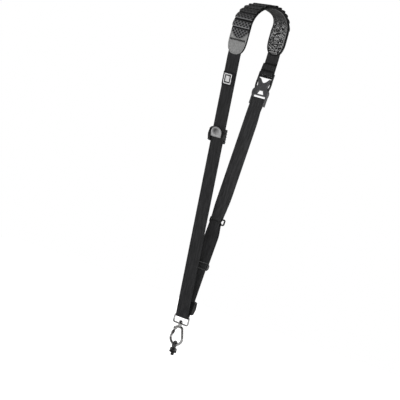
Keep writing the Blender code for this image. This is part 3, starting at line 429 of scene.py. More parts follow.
@dataclass(frozen=True)
class AirMeshFinish(Finish):
    """Knitted spacer mesh that follows the piece's own map."""

    pitch: float = 2.0 * MM
    fleck: float = 1.6 * MM
    pale: Colour = (0.74, 0.74, 0.74)

    def dress(self, graph: Graph, shader: bpy.types.bpy_prop_collection) -> None:
        """Threads round small dark holes, pale specks and a plain pressed rim; the specks fade out under painted shade
        towards the lining's top.
        """
        here = graph.add("ShaderNodeUVMap", uv_map="UVMap").outputs[0]
        net = EFFECTS.use(graph, "air_mesh", {"Place": here, "Holes": 1 / self.pitch, "Size": 0.27}).outputs
        specks = EFFECTS.use(graph, "flecks", {"Place": here, "Cells": 1 / self.fleck, "Share": 0.52}).outputs
        # Painted shade: where this mark is set the pale specks are taken away, darkening the lining towards its top.
        smooth = graph.add("ShaderNodeAttribute", attribute_name="painted_shade").outputs["Fac"]
        mottle = EFFECTS.use(graph, "mottle", {"Place": here, "Patches": 90.0, "Specks": 1400.0}).outputs
        knit = graph.mix(mottle["Tone"], self.shade(0.2), self.shade(0.44))
        speck = graph.math("MULTIPLY", specks["Speck"], graph.math("SUBTRACT", 1.0, smooth))
        open_net = graph.math("MAXIMUM", net["Thread"], graph.math("MULTIPLY", speck, 0.7))
        holed = graph.mix(open_net, self.shade(0.15), graph.mix(speck, knit, (*self.pale, 1.0)))
        rim = graph.add("ShaderNodeAttribute", attribute_name="edge").outputs["Fac"]
        graph.feed(shader["Base Color"], graph.mix(rim, holed, self.shade(2.8)))
        graph.feed(shader["Roughness"], graph.spread(mottle["Tone"], 0.0, 1.0, self.roughness - 0.08, self.roughness))
        shader["Sheen Weight"].default_value = 0.12
        fuzz = graph.noise(here, 6000.0, 2.0)
        self.bump(graph, shader, graph.math("MULTIPLY_ADD", fuzz, 0.15, net["Height"]), 0.5 * MM)


@dataclass(frozen=True)
class LeatherFinish(Finish):
    """Grained leather, dark and smooth at its cut edges."""

    cells: float = 1900.0

    def dress(self, graph: Graph, shader: bpy.types.bpy_prop_collection) -> None:
        """Pebbled grain, darker between its cells, and a burnished rim."""
        here = graph.add("ShaderNodeTexCoord").outputs["Object"]
        grain = EFFECTS.use(graph, "pebble", {"Place": here, "Cells": self.cells}).outputs
        mottle = EFFECTS.use(graph, "mottle", {"Place": here, "Patches": 380.0, "Specks": 1500.0}).outputs
        edge = graph.add("ShaderNodeAttribute", attribute_name="edge").outputs["Fac"]
        hide = graph.mix(mottle["Tone"], self.shade(0.68), self.shade(1.34))
        creased = graph.mix(graph.math("MULTIPLY", grain["Crease"], 0.3), hide, self.shade(0.6))
        graph.feed(shader["Base Color"], graph.mix(graph.math("MULTIPLY", edge, 0.45), creased, self.shade(0.35)))
        graph.feed(shader["Roughness"], graph.spread(grain["Height"], 0.0, 1.0, self.roughness + 0.15, self.roughness - 0.05))
        shader["Specular IOR Level"].default_value = 0.4
        self.bump(graph, shader, grain["Height"], 0.12 * MM, 0.8)


@dataclass(frozen=True)
class MouldedFinish(Finish):
    """Moulded plastic or rubber with a fine skin and rubbed edges."""

    texture: float = 0.05 * MM
    wear: float = 0.5
    coat: float = 0.0
    worn: float = 4.0

    def dress(self, graph: Graph, shader: bpy.types.bpy_prop_collection) -> None:
        """A fine texture, faint handling marks, paler edges (rubbed wear, and on the lever and slider also a painted
        highlight) and painted shade in hollows.
        """
        here = graph.add("ShaderNodeTexCoord").outputs["Object"]
        edge = graph.add("ShaderNodeAttribute", attribute_name="edge").outputs["Fac"]
        rub = EFFECTS.use(graph, "edge_wear", {"Place": here, "Edge": edge, "Amount": self.wear}).outputs[0]
        mottle = EFFECTS.use(graph, "mottle", {"Place": here, "Patches": 120.0, "Specks": 2400.0}).outputs
        # Painted shade: where this mark is set, as in the lever's scoop, the colour darkens to a fifth.
        hollow = graph.add("ShaderNodeAttribute", attribute_name="painted_shade").outputs["Fac"]
        tone = graph.mix(mottle["Tone"], self.shade(0.88), self.shade(1.12))
        painted_shade_tone = graph.mix(hollow, tone, self.shade(0.2))
        graph.feed(shader["Base Color"], graph.mix(rub, painted_shade_tone, self.shade(self.worn)))
        rough = graph.spread(mottle["Tone"], 0.0, 1.0, self.roughness - 0.05, self.roughness + 0.08)
        graph.feed(shader["Roughness"], graph.math("MULTIPLY_ADD", rub, 0.12, rough))
        if self.coat:
            shader["Coat Weight"].default_value = self.coat
            shader["Coat Roughness"].default_value = 0.12
        self.bump(graph, shader, graph.noise(here, 4200.0, 2.0), self.texture, 0.7)


@dataclass(frozen=True)
class MetalFinish(Finish):
    """Plated or bare metal with smudges and fine scratches."""

    scratch: float = 0.02 * MM
    smudge: float = 0.12

    def dress(self, graph: Graph, shader: bpy.types.bpy_prop_collection) -> None:
        """Changes of gloss, hairline scratches and paler rubbed edges."""
        here = graph.add("ShaderNodeTexCoord").outputs["Object"]
        edge = graph.add("ShaderNodeAttribute", attribute_name="edge").outputs["Fac"]
        mottle = EFFECTS.use(graph, "mottle", {"Place": here, "Patches": 160.0, "Specks": 1800.0}).outputs
        rub = EFFECTS.use(graph, "edge_wear", {"Place": here, "Edge": edge, "Amount": 0.4}).outputs[0]
        tone = graph.mix(mottle["Tone"], self.shade(0.93), self.shade(1.05))
        graph.feed(shader["Base Color"], graph.mix(rub, tone, self.shade(1.2)))
        rough = graph.spread(mottle["Tone"], 0.0, 1.0, self.roughness, self.roughness + self.smudge)
        graph.feed(shader["Roughness"], rough)
        stretch = graph.add("ShaderNodeMapping", {"Vector": here, "Scale": (900.0, 900.0, 9000.0)}).outputs[0]
        self.bump(graph, shader, graph.noise(stretch, 1.0, 2.0), self.scratch, 0.35)


WEBBING = WovenFinish("webbing_nylon", Slot.WEBBING, (0.025, 0.025, 0.026), 0.72)
# Lighter copies of the same webbing for the middle and top straps: painted light, standing in for the light those
# straps miss.
WEBBING_PAINTED_LIGHTER = WovenFinish("webbing_nylon_painted_lighter", Slot.WEBBING, (0.035, 0.035, 0.036), 0.72)
WEBBING_PAINTED_LIGHT = WovenFinish("webbing_nylon_painted_light", Slot.WEBBING, (0.03, 0.03, 0.031), 0.72)
# worn sets how pale the loops' lips are: rubbed wear and a painted highlight where each lip catches the light.
LOOP_WEBBING = CheckFinish("loop_webbing", Slot.WEBBING, (0.034, 0.034, 0.035), 0.7, depth=0.4 * MM, worn=11.0)
TAPE = WovenFinish("edge_tape", Slot.TAPE, (0.007, 0.007, 0.0075), 0.8, column=0.9 * MM, row=0.8 * MM, lean=0.4, depth=0.14 * MM, sheen=0.02)
THREAD = WovenFinish("sewing_thread", Slot.TAPE, (0.02, 0.02, 0.021), 0.6, column=0.5 * MM, row=0.5 * MM, depth=0.04 * MM)
TIP_THREAD = WovenFinish("tip_thread", Slot.LEATHER, (0.16, 0.16, 0.16), 0.6, column=0.5 * MM, row=0.5 * MM, depth=0.04 * MM)
LINING = AirMeshFinish("air_mesh_lining", Slot.LINING, (0.06, 0.06, 0.061), 0.85)
FOAM = MouldedFinish("foam_core", Slot.FOAM, (0.016, 0.016, 0.017), 0.9, texture=0.3 * MM, wear=0.0)
LEATHER = LeatherFinish("grey_leather", Slot.LEATHER, (0.33, 0.33, 0.327), 0.5)
BLACK = MouldedFinish("black_plastic_skin", Slot.BLACK, (0.012, 0.012, 0.0125), 0.38)
PATCH = WovenFinish("label_cloth", Slot.BLACK, (0.014, 0.014, 0.015), 0.6, column=0.7 * MM, row=0.7 * MM, lean=0.5, depth=0.08 * MM)
SMOKE = MouldedFinish("smoke_plastic_skin", Slot.SMOKE, (0.085, 0.085, 0.088), 0.22, texture=0.02 * MM, wear=0.3, coat=0.6, worn=3.0)
# The lever's edges are paler through its edge mark: rubbed wear and a painted highlight along its rim.
SILVER = MouldedFinish("silver_plastic_skin", Slot.SILVER, (0.48, 0.48, 0.485), 0.34, 0.35, texture=0.03 * MM, wear=0.6, worn=1.7)
WHITE = WovenFinish("label_white_thread", Slot.WHITE, (0.97, 0.97, 0.96), 0.6, column=0.6 * MM, row=0.6 * MM, lean=0.3, depth=0.08 * MM, sheen=0.1)
CHROME = MetalFinish("bright_plate", Slot.CHROME, (0.82, 0.81, 0.8), 0.05, 1.0, smudge=0.04)
GATE_STEEL = MetalFinish("gate_steel", Slot.DARK_METAL, (0.42, 0.41, 0.4), 0.18, 1.0, smudge=0.1)
STEEL = MetalFinish("dark_steel", Slot.DARK_METAL, (0.17, 0.17, 0.172), 0.28, 0.95)
LOOP_STEEL = MetalFinish("loop_steel", Slot.DARK_METAL, (0.03, 0.03, 0.03), 0.45, 0.8)
# The slider's edges are made very pale through its edge mark: a painted glint along its bars, with some rubbed wear.
GLOSS = MouldedFinish("glossy_black_skin", Slot.BLACK, (0.012, 0.012, 0.0125), 0.16, wear=1.0, coat=0.9, worn=12.0)
RUBBER = MouldedFinish("black_rubber", Slot.RUBBER, (0.014, 0.014, 0.014), 0.8, texture=0.08 * MM, wear=0.3)


# Mesh making


class Stock:
    """What one piece is built up from, shell by shell."""

    def __init__(self) -> None:
        """Start empty, with the layers that the finishes read."""
        self.bm = bmesh.new()
        self.plan = self.bm.verts.layers.float_vector.new("plan")
        self.edge = self.bm.verts.layers.float.new("edge")
        # This layer holds painted shade: how far a finish darkens the surface where shadow falls.
        self.painted_shade = self.bm.verts.layers.float.new("painted_shade")
        self.uv = self.bm.loops.layers.uv.new("UVMap")

    def close(self, verts: Sequence[bmesh.types.BMVert], outward: bool = True) -> None:
        """Weld a new shell's doubles, cap its open ends and turn its faces out.

        Args:
            verts: The shell's vertices.
            outward: Whether the faces are turned to point out.
        """
        bmesh.ops.remove_doubles(self.bm, verts=list(verts), dist=0.000002)
        alive = [vert for vert in verts if vert.is_valid]
        rim = {edge for vert in alive for edge in vert.link_edges if edge.is_boundary}
        if rim:
            bmesh.ops.holes_fill(self.bm, edges=list(rim), sides=0)
        if outward:
            faces = list({face for vert in alive for face in vert.link_faces})
            bmesh.ops.recalc_face_normals(self.bm, faces=faces)
            if self.volume(faces) < 0:
                bmesh.ops.reverse_faces(self.bm, faces=faces)

    @staticmethod
    def volume(faces: Iterable[bmesh.types.BMFace]) -> float:
        """The signed volume inside a shell's faces."""
        total = 0.0
        for face in faces:
            first, *rest = [vert.co for vert in face.verts]
            total += sum(first.dot(a.cross(b)) for a, b in zip(rest, rest[1:]))
        return total

    def skin(self, around: int, along: int, place: Place) -> list[bmesh.types.BMVert]:
        """Wrap a grid into a closed skin.

        Args:
            around: How many faces go round.
            along: How many faces go along.
            place: Gives the point, its spot on the flat cloth and, if it has them, its marks of
                wear and of shade, at two shares from 0 to 1.

        Returns:
            The skin's vertices.
        """
        made = bmesh.ops.create_grid(self.bm, x_segments=around, y_segments=along, size=1)
        verts = made["verts"]
        for vert in verts:
            point, spot, *marks = place((vert.co.x + 1) / 2, (vert.co.y + 1) / 2)
            vert.co = point
            vert[self.plan] = (*spot, 0.0)
            vert[self.edge], vert[self.painted_shade] = marks or (0.0, 0.0)
        self.close(verts)
        return [vert for vert in verts if vert.is_valid]

    def add_mesh(self, mesh: bpy.types.Mesh, matrix: Matrix) -> None:
        """Add a ready mesh through a matrix, and drop the mesh."""
        before = len(self.bm.verts)
        mesh.transform(matrix)
        self.bm.from_mesh(mesh)
        bpy.data.meshes.remove(mesh)
        self.bm.verts.ensure_lookup_table()
        self.close(self.bm.verts[before:])

    def tube(
        self, points: Sequence[Vector], radius: float | Sequence[float], across: Vector,
        sides: int = 16, closed: bool = False, domed: bool = False,
    ) -> None:
        """Run a round wire through the points of a flat path.

        Args:
            points: The wire's middle line.
            radius: One radius, or one for each point.
            across: The way out of the path's plane.
            sides: How many faces go round.
            closed: Whether the wire's two ends meet.
            domed: Whether each end is rounded.
        """
        line = [Vector(point) for point in points]
        radii = [radius] * len(line) if isinstance(radius, float) else list(radius)
        if closed:
            line, radii = [*line, line[0]], [*radii, radii[0]]
        ways = []
        for k in range(len(line)):
            last, next_ = line[max(k - 1, 0)], line[min(k + 1, len(line) - 1)]
            if closed and k in (0, len(line) - 1):
                last, next_ = line[-2], line[1]
            ways.append((next_ - last).normalized())
        if domed:
            for end, step in ((0, -1), (-1, 1)):
                tip, way, size = line[end], ways[end] * step, radii[end]
                for turn in (0.35, 0.7, 1.05, 1.35):
                    at = 0 if end == 0 else len(line)
                    line.insert(at, tip + way * size * math.sin(turn))
                    ways.insert(at, ways[end])
                    radii.insert(at, size * math.cos(turn))
        last_row = len(line) - 1

        def place(u: float, v: float) -> tuple[Vector, Flat]:
            """The point on the wire's skin."""
            row = round(v * last_row)
            turn = TURN * u
            side = ways[row].cross(across).normalized()
            out = side * math.cos(turn) + across * math.sin(turn)
            return line[row] + out * radii[row], (radii[row] * turn, 0.0)

        self.skin(sides, last_row, place)

    def turned(self, profile: Sequence[Flat], matrix: Matrix, steps: int = 32, ring: bool = False) -> None:
        """Spin a profile about Z.

        Args:
            profile: Rows of (radius, height).
            matrix: Where the turned shell goes.
            steps: How many faces go round.
            ring: Whether the profile closes on itself.
        """
        verts = [self.bm.verts.new((radius, 0, height)) for radius, height in profile]
        pairs = list(zip(verts, verts[1:])) + ([(verts[-1], verts[0])] if ring else [])
        edges = [self.bm.edges.new(pair) for pair in pairs]
        before = len(self.bm.verts) - len(verts)
        bmesh.ops.spin(
            self.bm, geom=verts + edges, cent=(0, 0, 0), axis=(0, 0, 1),
            angle=TURN, steps=steps, use_merge=True, use_duplicate=False,
        )
        self.bm.verts.ensure_lookup_table()
        made = self.bm.verts[before:]
        bmesh.ops.transform(self.bm, matrix=matrix, verts=made)
        self.close(made)

    @staticmethod
    def bend(edge: bmesh.types.BMEdge) -> float:
        """How sharply the surface bends out over an edge, from 0 to 1."""
        if len(edge.link_faces) != 2 or not edge.is_convex:
            return 0.0
        turn = edge.calc_face_angle(0.0)
        if turn > 0.6:
            return 1.0
        width = sum(face.calc_area() for face in edge.link_faces) / max(2 * edge.calc_length(), 1e-9)
        return min(1.0, max(0.0, (turn / max(width, 1e-6) - 900.0) / 1200.0))

    def stitch(self, start: Vector, end: Vector, out: Vector, radius: float) -> None:
        """One stitch of thread lying on a surface."""
        way = end - start
        across = way.cross(out).normalized() * radius
        lift = across.cross(way).normalized() * radius
        if lift.dot(out) < 0:
            lift, across = -lift, -across
        spot = (start + end) / 2 + lift * 0.35
        rows = Matrix((across, way / 2, lift)).transposed().to_4x4()
        if rows.determinant() < 0:
            rows = Matrix((-across, way / 2, lift)).transposed().to_4x4()
        matrix = Matrix.Translation(spot) @ rows
        bmesh.ops.create_uvsphere(self.bm, u_segments=6, v_segments=4, radius=1.0, matrix=matrix)

    def map_flat(self, seat: Matrix) -> None:
        """Map the whole stock flat, as its seat lies."""
        back = seat.inverted()
        for vert in self.bm.verts:
            spot = back @ vert.co
            vert[self.plan] = (spot.x, spot.y, 0.0)

    def as_mesh(self) -> bpy.types.Mesh:
        """The stock as a plain mesh, for carving."""
        mesh = bpy.data.meshes.new("stock")
        self.bm.to_mesh(mesh)
        self.bm.free()
        return mesh

    def publish(
        self, name: str, finish: Finish, body: str = STRAP_BODY,
        nodes: Sequence[str] = (), sharp: float = 38.0, hard: bool = False,
    ) -> bpy.types.Object:
        """Turn the stock into a finished piece of the strap.

        Args:
            name: The piece's name.
            finish: What it is made of.
            body: The model's body that it moves with.
            nodes: The model's nodes that it stands for.
            sharp: The angle in degrees past which an edge stays sharp.
            hard: Whether its edges get an edge mark, for rubbed wear and, on some finishes, a painted highlight.

        Returns:
            The new object.
        """
        for face in self.bm.faces:
            for loop in face.loops:
                loop[self.uv].uv = loop.vert[self.plan].xy
        if hard:
            for vert in self.bm.verts:
                vert[self.edge] = max((self.bend(edge) for edge in vert.link_edges), default=0.0)
        mesh = bpy.data.meshes.new(name)
        self.bm.to_mesh(mesh)
        self.bm.free()
        mesh.materials.append(finish.material())
        mesh.shade_smooth()
        mesh.set_sharp_from_angle(angle=math.radians(sharp))
        piece = bpy.data.objects.new(name, mesh)
        bpy.context.scene.collection.objects.link(piece)
        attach(piece, body)
        if nodes:
            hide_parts(*nodes)
        LOG.info("%s: %d faces on %s", name, len(mesh.polygons), body)
        return piece


def carve(mesh: bpy.types.Mesh, tools: Sequence[bpy.types.Mesh], operation: str = "DIFFERENCE") -> bpy.types.Mesh:
    """Cut meshes out of a mesh, or join them to it.

    Args:
        mesh: What is cut.
        tools: What cuts it.
        operation: The kind of Boolean.

    Returns:
        The result as a new mesh. The given ones are removed.
    """
    objects = [bpy.data.objects.new("carving", data) for data in (mesh, *tools)]
    for made in objects:
        bpy.context.scene.collection.objects.link(made)
    for tool in objects[1:]:
        step = objects[0].modifiers.new("cut", "BOOLEAN")
        step.object = tool
        step.operation = operation
        step.solver = "EXACT"
    graph = bpy.context.evaluated_depsgraph_get()
    result = bpy.data.meshes.new_from_object(objects[0].evaluated_get(graph))
    for made in objects:
        data = made.data
        bpy.data.objects.remove(made, do_unlink=True)
        bpy.data.meshes.remove(data)
    return result


def plate(outlines: Sequence[Sequence[Flat]], thick: float, bevel: float = 0.0, steps: int = 2) -> bpy.types.Mesh:
    """A flat outline with any holes, in the XY plane, with rounded edges.

    Args:
        outlines: The outline and its holes.
        thick: How thick it is along Z.
        bevel: The radius of its edges.
        steps: How finely the edges are rounded.

    Returns:
        The plate's mesh.
    """
    curve = bpy.data.curves.new("plate", "CURVE")
    curve.dimensions = "2D"
    curve.fill_mode = "BOTH"
    curve.extrude = thick / 2 - bevel
    curve.bevel_depth = bevel
    curve.bevel_resolution = steps
    curve.offset = -bevel
    for points in outlines:
        spline = curve.splines.new("POLY")
        spline.points.add(len(points) - 1)
        spline.use_cyclic_u = True
        for slot, point in zip(spline.points, points):
            slot.co = (*point, 0.0, 1.0)
    temp = bpy.data.objects.new("plate", curve)
    bpy.context.scene.collection.objects.link(temp)
    graph = bpy.context.evaluated_depsgraph_get()
    mesh = bpy.data.meshes.new_from_object(temp.evaluated_get(graph))
    bpy.data.objects.remove(temp, do_unlink=True)
    bpy.data.curves.remove(curve)
    bm = bmesh.new()
    bm.from_mesh(mesh)
    bmesh.ops.remove_doubles(bm, verts=bm.verts[:], dist=0.000005)
    bmesh.ops.recalc_face_normals(bm, faces=bm.faces[:])
    if bm.calc_volume(signed=True) < 0:
        bmesh.ops.reverse_faces(bm, faces=bm.faces[:])
    if bevel and len(outlines) == 1:
        for way in (-1, 1):
            flats = [face for face in bm.faces if face.normal.z * way > 0.9999]
            bmesh.ops.inset_region(bm, faces=flats, thickness=RIM, use_even_offset=False)
    bm.to_mesh(mesh)
    bm.free()
    return mesh


def solid(build: Callable[[bmesh.types.BMesh], object], matrix: Matrix) -> bpy.types.Mesh:
    """A mesh from one bmesh operator, put in place by a matrix."""
    bm = bmesh.new()
    build(bm)
    bm.transform(matrix)
    bmesh.ops.recalc_face_normals(bm, faces=bm.faces[:])
    if bm.calc_volume(signed=True) < 0:
        bmesh.ops.reverse_faces(bm, faces=bm.faces[:])
    mesh = bpy.data.meshes.new("solid")
    bm.to_mesh(mesh)
    bm.free()
    return mesh


def rod(radius: float, length: float, matrix: Matrix, sides: int = 24) -> bpy.types.Mesh:
    """A plain round bar along the matrix's Z."""
    return solid(
        lambda bm: bmesh.ops.create_cone(
            bm, cap_ends=True, segments=sides, radius1=radius, radius2=radius, depth=length
        ),
        matrix,
    )


def block(size: Sequence[float], centre: Sequence[float], bevel: float = 0.0) -> bpy.types.Mesh:
    """A box with rounded edges."""

    def build(bm: bmesh.types.BMesh) -> None:
        """Scale a cube and round its edges."""
        bmesh.ops.create_cube(bm, size=1.0, matrix=Matrix.Diagonal((*size, 1.0)))
        if bevel:
            bmesh.ops.bevel(
                bm, geom=bm.edges[:], offset=bevel, offset_type="OFFSET", segments=3,
                profile=0.5, affect="EDGES", material=-1,
            )
            flats = sorted(bm.faces, key=lambda face: face.calc_area())[-6:]
            bmesh.ops.inset_individual(bm, faces=flats, thickness=RIM, use_even_offset=True)

    return solid(build, Matrix.Translation(centre))


def arc(centre: Flat, radius: float, start: float, end: float, steps: int) -> list[Flat]:
    """Points of an arc, both ends included."""
    turns = [start + (end - start) * k / steps for k in range(steps + 1)]
    return [(centre[0] + radius * math.cos(t), centre[1] + radius * math.sin(t)) for t in turns]


def rounded_box(half_x: float, low_y: float, high_y: float, corner: float, steps: int = 8) -> list[Flat]:
    """The outline of a rectangle with round corners."""
    right, top, bottom = half_x - corner, high_y - corner, low_y + corner
    quarter = math.pi / 2
    centres = [(right, top), (-right, top), (-right, bottom), (right, bottom)]
    return [
        point
        for k, centre in enumerate(centres)
        for point in arc(centre, corner, k * quarter, (k + 1) * quarter, steps)
    ]


def softened(points: Sequence[Flat], radius: float, closed: bool = True, steps: int = 4) -> list[Flat]:
    """An outline whose corners are rounded.

    Args:
        points: The corners.
        radius: How far from each corner the rounding starts, where there is room.
        closed: Whether the last point joins the first.
        steps: How many points each corner takes.

    Returns:
        The rounded outline.
    """
    count = len(points)
    rounded = []
    for k, point in enumerate(points):
        if not closed and k in (0, count - 1):
            rounded.append(point)
            continue
        spot = Vector(point)
        before, after = Vector(points[k - 1]) - spot, Vector(points[(k + 1) % count]) - spot
        start = spot + before * min(0.45, radius / max(before.length, 1e-9))
        end = spot + after * min(0.45, radius / max(after.length, 1e-9))
        for step in range(steps + 1):
            t = step / steps
            rounded.append(tuple(start * (1 - t) ** 2 + spot * 2 * t * (1 - t) + end * t**2))
    return rounded


def mirrored(half: Sequence[Flat]) -> list[Flat]:
    """A closed outline from its right half, listed from the top centre to the bottom centre."""
    return [*half, *[(-x, y) for x, y in reversed(half) if x > 0]]


def sideways(middle: float) -> Matrix:
    """A turn that stands a flat outline across X: its X points out, its Y up the strap."""
    return Matrix(((0, 0, 1, middle), (0, 1, 0, 0), (1, 0, 0, 0), (0, 0, 0, 1)))


def strip_section(flat_steps: int, edge_steps: int) -> list[tuple[float, float, float]]:
    """Round a strip's section from its left edge.

    Args:
        flat_steps: How many faces cross each flat side.
        edge_steps: How many faces round each quarter of an edge.

    Returns:
        Rows of (share of the flat's half width, way out of the edge, level from -1 to 1).
    """
    quarter = [math.pi / 2 * k / edge_steps for k in range(edge_steps + 1)]
    flat = [-1 + 2 * k / flat_steps for k in range(flat_steps + 1)]
    rows = [(-1.0, -math.cos(t), math.sin(t)) for t in quarter]
    rows += [(x, 0.0, 1.0) for x in flat[1:]]
    rows += [(1.0, math.sin(t), math.cos(t)) for t in quarter[1:]]
    rows += [(1.0, math.cos(t), -math.sin(t)) for t in quarter[1:]]
    rows += [(-x, 0.0, -1.0) for x in flat[1:]]
    rows += [(-1.0, -math.sin(t), -math.cos(t)) for t in quarter[1:]]
    return rows


# The strap's lines, as the model has them


def tangent(first: Wrap, second: Wrap) -> tuple[float, Flat, Flat]:
    """Heading and ends of the straight run between two wraps of (y, z, radius, turn sense)."""
    (y1, z1, r1, s1), (y2, z2, r2, s2) = first, second
    away = math.hypot(y2 - y1, z2 - z1)
    heading = math.atan2(z2 - z1, y2 - y1) - math.asin((s2 * r2 - s1 * r1) / away)
    left = (-math.sin(heading), math.cos(heading))
    start = (y1 - s1 * r1 * left[0], z1 - s1 * r1 * left[1])
    end = (y2 - s2 * r2 * left[0], z2 - s2 * r2 * left[1])
    return heading, start, end


def wrap_arc(wrap: Wrap, heading: float, turn: float, step: float) -> list[Flat]:
    """Points round a wrap, met at a heading and left after a turn."""
    y, z, radius, sense = wrap
    side = math.atan2(-sense * math.cos(heading), sense * math.sin(heading))
    return arc((y, z), radius, side, side + sense * turn, max(1, round(turn / step)))


def thread_through(wraps: Sequence[Wrap], last_turn: float = 0.0, step: float = math.radians(12)) -> list[Flat]:
    """The path of a strap drawn tight through its wraps."""
    runs = [tangent(a, b) for a, b in zip(wraps, wraps[1:])]
    points = [runs[0][1]]
    for k, wrap in enumerate(wraps[1:]):
        heading, _, end = runs[k]
        turn = last_turn
        if k + 1 < len(runs):
            turn = (wrap[3] * (runs[k + 1][0] - heading)) % TURN
        if wrap[2] == 0 or turn == 0 or turn > 1.9 * math.pi:
            points.append(end)
        else:
            points += wrap_arc(wrap, heading, turn, step)
    return points


def divided(points: Sequence[Flat], step: float) -> list[Flat]:
    """The same path with its long runs divided."""
    path = [points[0]]
    for (y0, z0), (y1, z1) in zip(points, points[1:]):
        count = max(1, round(math.hypot(y1 - y0, z1 - z0) / step))
        path += [(y0 + (y1 - y0) * k / count, z0 + (z1 - z0) * k / count) for k in range(1, count + 1)]
    return path


@dataclass
class PadArch:
    """The pad's middle surface, arched over the shoulder."""

    width: float = 35 * MM
    front_reach: float = 65.5 * MM
    back_reach: float = 67.6 * MM
    drop: float = 39.6 * MM
    shear: float = 0.047
    crown_lean: float = math.radians(5.6)
    back_twist: float = math.radians(13)
    leg_front: float = 52 * MM
    leg_back: float = 40.3 * MM
    tip: float = 28 * MM
    roundness: float = 2.6
    core_top: float = 0.75 * MM
    core_low: float = -1.45 * MM
    lining_top: float = -1.75 * MM
    lining_low: float = -2.75 * MM
    lengths: np.ndarray = field(init=False)
    line: tuple[np.ndarray, np.ndarray] = field(init=False)

    def __post_init__(self) -> None:
        """Lay out the arch and its two legs."""
        turns = np.linspace(0, math.pi, 361)
        y = -np.where(turns < math.pi / 2, self.front_reach, self.back_reach) * np.cos(turns)
        z = -self.lining_low + self.drop * (np.sin(turns) - 1) + self.shear * y
        y = np.concatenate([[y[0]], y, [y[-1]]])
        z = np.concatenate([[z[0] - self.leg_front], z, [z[-1] - self.leg_back]])
        length = np.concatenate([[0], np.cumsum(np.hypot(np.diff(y), np.diff(z)))])
        self.lengths = length - length[181]
        self.line = (y, z)

    @property
    def start(self) -> float:
        """Where the pad starts, at its front tip."""
        return float(self.lengths[0])

    @property
    def end(self) -> float:
        """Where the pad ends, at its back tip."""
        return float(self.lengths[-1])

    @property
    def middle(self) -> float:
        """Halfway along the pad."""
        return (self.start + self.end) / 2

    @property
    def cover(self) -> float:
        """The height of the core's top cover."""
        return self.core_top + GAP

    def point(self, x: float, s: float, t: float) -> Vector:
        """A point at x across, s along and t out of the middle surface."""
        step = 1.5 * MM
        y, z = (float(np.interp(s, self.lengths, axis)) for axis in self.line)
        low, high = max(s - step, self.start), min(s + step, self.end)
        dy, dz = (
            float(np.interp(high, self.lengths, axis) - np.interp(low, self.lengths, axis))
            for axis in self.line
        )
        size = math.hypot(dy, dz)
        out_y, out_z = -dz / size, dy / size
        t += x * math.tan(self.crown_lean) * max(out_z, 0) ** 2
        twist = (2 * max(out_y, 0) * max(out_z, 0)) ** 2
        t += (self.width / 2 - x) * math.tan(self.back_twist) * twist
        return Vector((x, y + out_y * t, z + out_z * t))

    def out(self, x: float, s: float) -> Vector:
        """The way out of the surface."""
        return (self.point(x, s, MM) - self.point(x, s, 0)).normalized()

    def rows(self, inset: float, step: float = 2.5 * MM) -> list[Flat]:
        """Rows of (place along, half width) of the pad's plan, drawn in by an inset."""
        half, tip = self.width / 2 - inset, self.tip - inset
        power = 2 / self.roundness
        front, back = self.start + self.tip, self.end - self.tip
        turns = [math.pi / 2 * (1 - (k / 15) ** 1.3) for k in range(16)]
        tips = [(tip * math.sin(t) ** power, max(half * math.cos(t) ** power, 0.02 * MM)) for t in turns]
        steps = round((back - front) / step)
        rows = [(front - reach, width) for reach, width in tips]
        rows += [(front + (back - front) * k / steps, half) for k in range(1, steps)]
        return rows + [(back + reach, width) for reach, width in reversed(tips)]


PAD = PadArch()
WEB_WIDTH, WEB_THICK = 25 * MM, 1.5 * MM
PLY = WEB_THICK + GAP
RING_BAR = -550.3 * MM
RING_WIRE = 1.6 * MM
RING_WRAP: Wrap = (0.0, RING_BAR, RING_WIRE + GAP + WEB_THICK / 2, 1)
TIP_FRONT = (-PAD.front_reach, float(PAD.line[1][0]))
TIP_BACK = (PAD.back_reach, float(PAD.line[1][-1]))
FRONT_LINE = tangent((*TIP_FRONT, 0.0, 1), RING_WRAP)
BACK_LINE = tangent(RING_WRAP, (*TIP_BACK, 0.0, 1))
EDGE_IN = WEB_WIDTH / 2 + GAP


def strap_frame(side: Side, height: float) -> Matrix:
    """A frame on a strap's middle plane: X across, Y up along it, Z out of the loop.

    Args:
        side: Which strap.
        height: Where on it, as a height in the model's frame.

    Returns:
        The frame's matrix.
    """
    heading, start, _ = FRONT_LINE if side is Side.FRONT else BACK_LINE
    up = Vector((0, math.cos(heading), math.sin(heading))) * (-1 if side is Side.FRONT else 1)
    across = Vector((-side.value, 0, 0))
    origin = Vector((0, start[0], start[1])) + up * (height - start[1]) / up.z
    rows = Matrix((across, up, across.cross(up))).transposed().to_4x4()
    return Matrix.Translation(origin) @ rows


def on_strap(side: Side, height: float, along: float = 0.0, out: float = 0.0) -> Flat:
    """The (y, z) of a point near a strap, along it and out of the loop from a height."""
    spot = strap_frame(side, height) @ Vector((0, along, out))
    return spot.y, spot.z


# The pad


